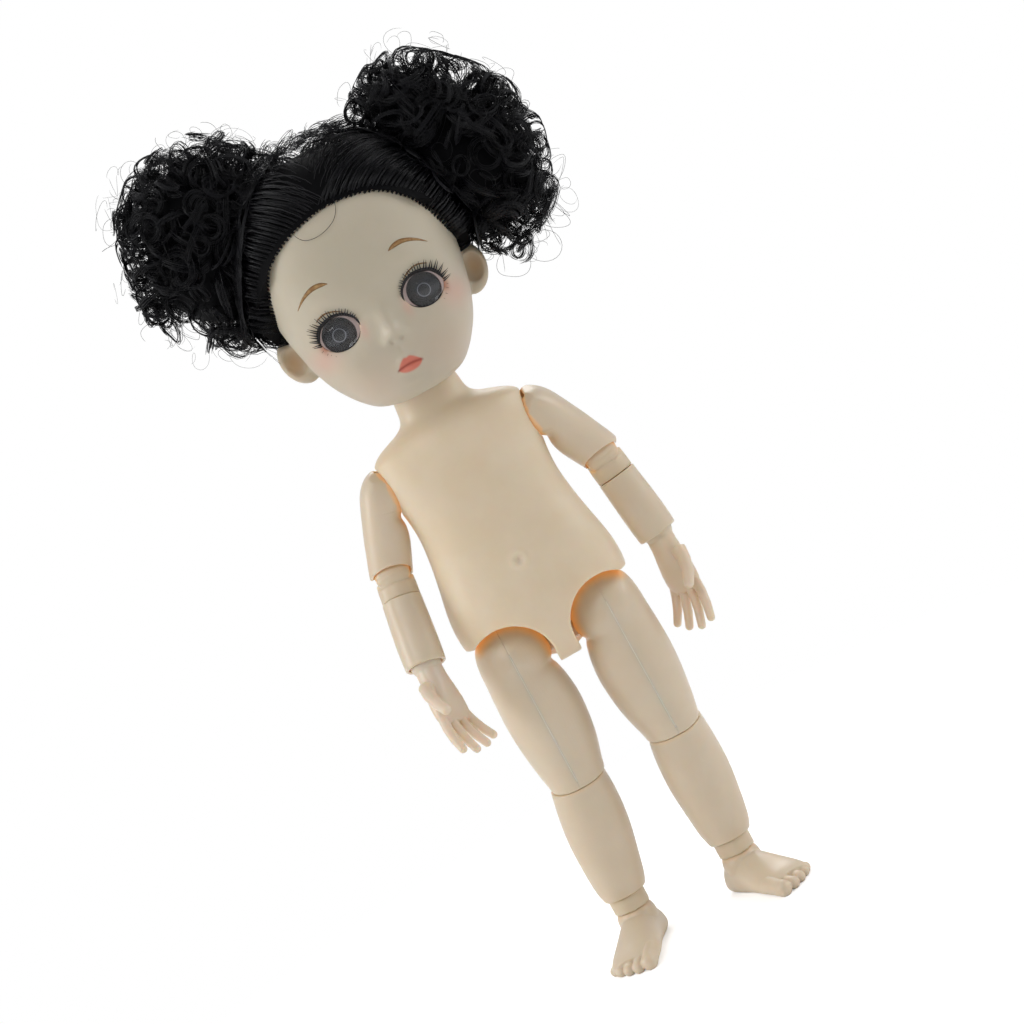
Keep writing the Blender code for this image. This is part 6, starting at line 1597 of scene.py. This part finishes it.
def lump(ahead):
    x, y, z = ahead[..., 0], ahead[..., 1], ahead[..., 2]
    return np.sin(3.1 * x + 0.6) * np.sin(3.7 * y + 1.1) + np.sin(4.3 * z + 2.0 * x) * np.cos(2.9 * y)


def off_head(paths, clearance):
    """Moves what would sink into the combed hair out to its skin."""
    away = paths - middle
    far = np.linalg.norm(away, axis=-1, keepdims=True)
    return middle + away / far * np.maximum(far, reach(hair_reach, away / far)[..., None] + clearance)


def settle(paths, spot, radii, limit, softness):
    """Keeps fibres within a lumpy bunch and off the head: what would stand out is drawn in softly."""
    turn_back = np.array(spot.inverted().to_3x3())
    inside = (paths - np.array(spot.translation)) @ turn_back.T / np.array(radii)
    size = np.linalg.norm(inside, axis=-1, keepdims=True) + 1e-9
    bound = limit * (1 + BUNCH_LUMP_SHARE * lump(inside / size)[..., None])
    drawn = np.where(size > bound, bound + softness * np.tanh((size - bound) / softness), size)
    settled = (
        inside / size * drawn * np.array(radii)) @ np.array(spot.to_3x3()).T + np.array(spot.translation)
    return off_head(settled, HEAD_CLEARANCE)


def locks_of(centres, axes, kind):
    """Fibres in curls about axes; the fibres of a lock keep together but not exactly."""
    locks = len(centres)
    *ranges, count, points, spread = CURL_KINDS[kind]
    sizes, turns, pitches = [draw.uniform(low, high, locks) for low, high in ranges]
    t = np.linspace(0, 1, points)[None, None, :]
    guide = unit(draw.normal(0, 1, (locks, 3)))
    aside = unit(np.cross(axes, guide))[:, None, None]
    upper = np.cross(axes, aside[:, 0, 0])[:, None, None]
    own = draw.normal(0, 1, (locks, count, 4))
    phase = draw.uniform(0, 2 * math.pi, (locks, 1, 1)) + own[..., 0:1] * 0.16
    wave = 1 + 0.10 * np.sin(t * 9 + draw.uniform(
        0, 6, (locks, 1, 1))) + 0.05 * np.sin(t * 17 + own[..., 1:2] * 2)
    grow = 0.50 + 0.50 * np.where(draw.uniform(0, 1, (locks, 1, 1)) > 0.5, t, 1 - t)
    size = sizes[:, None, None] * grow * wave * (1 + 0.09 * own[..., 2:3])
    angle = phase + 2 * math.pi * turns[:, None, None] * t
    rise = pitches[:, None, None] * turns[:, None, None] * (t - 0.5) + own[..., 3:4] * spread
    return (centres[:, None, None] + aside * (size * np.cos(angle))[..., None]
            + upper * (size * np.sin(angle))[..., None] + axes[:, None, None] * rise[..., None]
            ).reshape(locks * count, points, 3)


def rolls_of(start, ends, normals, sizes):
    """Fibres that leave the tie, reach the bunch's outside and roll under there."""
    locks = len(ends)
    t = np.linspace(0, 1, ROLL_POINTS)[None, None, :, None]
    own = draw.normal(0, 1, (locks, ROLL_FIBRES, 1, 3))
    aside = unit(np.cross(normals, unit(draw.normal(0, 1, (locks, 3)))))[:, None, None]
    up = normals[:, None, None]
    size = sizes[:, None, None, None] * (1 + 0.12 * own[..., 0:1])
    straight = eased(t / 0.45)
    angle = 2 * math.pi * 1.05 * np.clip((t - 0.40) / 0.60, 0, 1)
    top = ends[:, None, None] + own * ROLL_SPREAD
    sideways = np.cross(normals, aside[:, 0, 0])[:, None, None]
    path = start * (1 - straight) + (top - sideways * size) * straight
    return (path + sideways * size * straight * (1 - np.cos(angle)) + up * size * np.sin(angle) * 0.9
            + aside * angle * size * 0.10).reshape(locks * ROLL_FIBRES, ROLL_POINTS, 3)


def thin_ends(paths, thickness):
    taper = np.interp(np.linspace(0, 1, paths.shape[1]), (0, 0.08, 0.9, 1), (0.5, 1, 1, 0.35))
    return thickness * draw.uniform(0.75, 1.25, (len(paths), 1)) * taper[None]


def place_curls(name, paths, thickness, node):
    place_piece(name, fibres(paths + head_origin, thin_ends(paths, thickness)), "head", CURLED_NYLON,
                "hair_fibre", node)


ELASTIC = matt_paint("black_rubber_elastic", "#060607", "#0e0e10", 0.8)
for side, sign in SIDES:
    radii = [radius * BUNCH_FULLNESS for radius in BUNCH_RADII[side]]
    spot = Matrix.Translation(
        Vector(BUNCH_PLACE[side]) + Vector(BUNCH_SHIFT[side])) @ turned(-sign * BUNCH_LEAN[side], "Y")
    turn_out = np.array(spot.to_3x3())
    core = ball([radius * CORE_SHARE for radius in radii], head_frame @ spot, 72)
    places = np.array([vertex.co for vertex in core.vertices]) - head_origin
    places = settle(places, spot, radii, CORE_SHARE * 0.98, 0.02)
    core.vertices.foreach_set("co", (places + head_origin).ravel())
    place_piece(f"bunch_core_{side}", core, "head", ROOTED_NYLON, "hair_fibre", f"hair_puff_{side}")

    def around(count, low, high):
        ahead = unit(draw.normal(0, 1, (count, 3)))
        depth = draw.uniform(low, high, (count, 1))
        normals = unit((ahead / np.array(radii)) @ turn_out.T)
        return (ahead * depth * np.array(radii)) @ turn_out.T + np.array(spot.translation), normals

    centres, normals = around(CURL_LOCKS, 0.72, 0.95)
    facing = draw.uniform(0, 1, (CURL_LOCKS, 1)) < 0.5
    axes = unit(np.where(facing, normals, 0) + draw.normal(0, 0.45, (CURL_LOCKS, 3)))
    curls = locks_of(centres, axes, "curl")
    ends, normals = around(ROLL_LOCKS, 0.70, 0.84)
    knot = middle + tie_ahead(side) * TIE_DISTANCE
    rolls = rolls_of(knot, ends, normals, draw.uniform(*ROLL_SIZES, ROLL_LOCKS))
    half = len(curls) // 2
    for name, paths in (("curls", curls[:half]), ("more_curls", curls[half:]), ("rolls", rolls)):
        paths = settle(paths, spot, radii, BUNCH_LIMIT, 0.07)
        place_curls(f"bunch_{name}_{side}", paths, CURL_RADIUS, f"hair_puff_{side}")
    centres, normals = around(FLYAWAY_COUNT, 0.92, 1.10)
    stray = locks_of(centres, unit(draw.normal(0, 1, (FLYAWAY_COUNT, 3))), "flyaway")
    stray = settle(stray, spot, radii, BUNCH_LIMIT + 0.05, 0.20)
    place_curls(f"bunch_flyaways_{side}", stray, FLYAWAY_RADIUS, f"hair_puff_{side}")

    tie_frame = head_frame @ Matrix.Translation(Vector(knot)) @ Vector(tie_ahead(side)).to_track_quat(
        "Z", "Y").to_matrix().to_4x4()
    rings = []
    for step in range(96):
        turn = 2 * math.pi * step / 96
        ring = []
        for part in range(24):
            round_turn = 2 * math.pi * part / 24
            thick = TIE_THICKNESS * (1 - 0.14 * (1 + math.cos(3 * round_turn + 12 * turn)) / 2)
            out = TIE_RADIUS + thick * math.cos(round_turn)
            ring.append((out * math.cos(turn), out * math.sin(turn), thick * math.sin(round_turn)))
        rings.append(ring)
    place_piece(
        f"elastic_{side}", mesh_of(rings, tie_frame, True), "head", ELASTIC, "tie_rubber", f"hair_tie_{side}"
    )

top = unit(np.stack(
    [np.linspace(-0.62, 0.42, CROWN_LOCKS), draw.uniform(-0.55, 0.25, CROWN_LOCKS), np.ones(CROWN_LOCKS)],
    axis=1))
centres = middle + top * (reach(hair_reach, top) + draw.uniform(0.0002, 0.0014, CROWN_LOCKS))[:, None]
crown = locks_of(centres, unit(top + draw.normal(0, 0.35, (CROWN_LOCKS, 3))), "crown")
place_curls("crown_curls", off_head(crown, -SNUG), CURL_RADIUS * 0.8, "combed_hair")
stray = np.array([[
    np.array(skin_point(x / 1000, z / 1000, rise / 1000)) - head_origin for x, z,
    rise in smooth_table(STRAY_MM, 6)]])
place_curls("forehead_stray", stray, CURL_RADIUS * 0.8, "combed_hair")

# Glue lines
# The glue between the halves of each thigh stands a hair proud down the front and the back, paler
# than the moulding.
GLUE_BEAD_RADIUS = 0.00011
GLUE_BEAD_SINK = 0.00005
GLUE_REACH = 0.00022
GLUE_TOP_SHARE = 0.10
GLUE_LOW_SHARE = -0.975
DRIED_GLUE = vinyl("dried_solvent_glue", "#f0e3cc", "#f0b260", "#eadbc0", 0.30, 1.0, weight=0.6)[0]

for side, sign in SIDES:
    hip = frame_at(f"hip_spread_{side}", (-sign * THIGH_LEAN[side], "Y"))
    skins = [skin_of(bpy.data.objects[f"thigh_{half}_moulding_{side}"].data) for half in ("outer", "inner")]
    for face, ahead in (("front", -1), ("back", 1)):
        path = []
        for share in np.linspace(GLUE_TOP_SHARE, GLUE_LOW_SHARE, 60):
            start = hip @ Vector((0, ahead * THIGH_DEPTH, share * THIGH_LENGTH))
            inward = hip.to_3x3() @ Vector((0, -ahead, 0))
            depths = [skin.ray_cast(start + hip.to_3x3() @ Vector((aside, 0, 0)), inward)[3]
                      for skin in skins for aside in (-GLUE_REACH, 0, GLUE_REACH)]
            depths = [depth for depth in depths if depth is not None and depth < THIGH_DEPTH]
            if depths:
                path.append(np.array(start + inward * (min(depths) + GLUE_BEAD_SINK)))
        bead = fibres(np.array([path]), np.full((1, len(path)), GLUE_BEAD_RADIUS), 8)
        place_piece(f"glue_line_{face}_{side}", bead, f"thigh_{side}", DRIED_GLUE, "limb_plastic")

# Painted light in the joints
# Where two mouldings almost touch, light is caught between them and comes back amber, and that is
# painted on: each moulding gets the strength of the painted glow from its distance to the pieces of
# other bodies.
GLOW_NEAR = 0.00030
# how far it reaches, its strength, and how squarely a surface must face the other piece
GLOW = {"torso": (0.0026, 0.56, 0.35), "upper_arm": (0.0016, 0.44, 0.30), "thigh": (0.0027, 0.78, -1.0),
        "elbow": (0.0011, 0.44, -1.0)}
GLOW_ELSEWHERE = (0.0009, 0.14, 0.0)
UNLIT_GAPS = ("shin", "knee", "forearm")
NOT_PLASTIC = ("hair", "combed", "eye", "lens")

bare = {name: (node.parent.name, skin_of(node.data)) for name, node in frame["nodes"].items()
        if not name.startswith(NOT_PLASTIC)}
for thing in glowing:
    own = thing.parent.name
    kind = next((start for start in GLOW if thing.name.startswith(start)), None)
    furthest, most, facing = GLOW.get(kind, GLOW_ELSEWHERE)
    places = np.empty(len(thing.data.vertices) * 3)
    thing.data.vertices.foreach_get("co", places)
    places = places.reshape(-1, 3)
    least = np.full(len(places), furthest)
    for name, (body, skin) in bare.items():
        if body == own or name.startswith(UNLIT_GAPS):
            continue
        low, high = np.array(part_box(name)) + np.array([[-furthest], [furthest]])
        for index in np.nonzero(((places > low) & (places < high)).all(1))[0]:
            vertex = thing.data.vertices[index]
            spot, distance = skin.find_nearest(vertex.co, furthest)[::3]
            if spot is not None and (spot - vertex.co).dot(vertex.normal) >= facing * distance:
                least[index] = min(least[index], distance)
    layer = thing.data.attributes.new("crevice", "FLOAT", "POINT")
    layer.data.foreach_set("value", most * (1 - eased((least - GLOW_NEAR) / (furthest - GLOW_NEAR))))
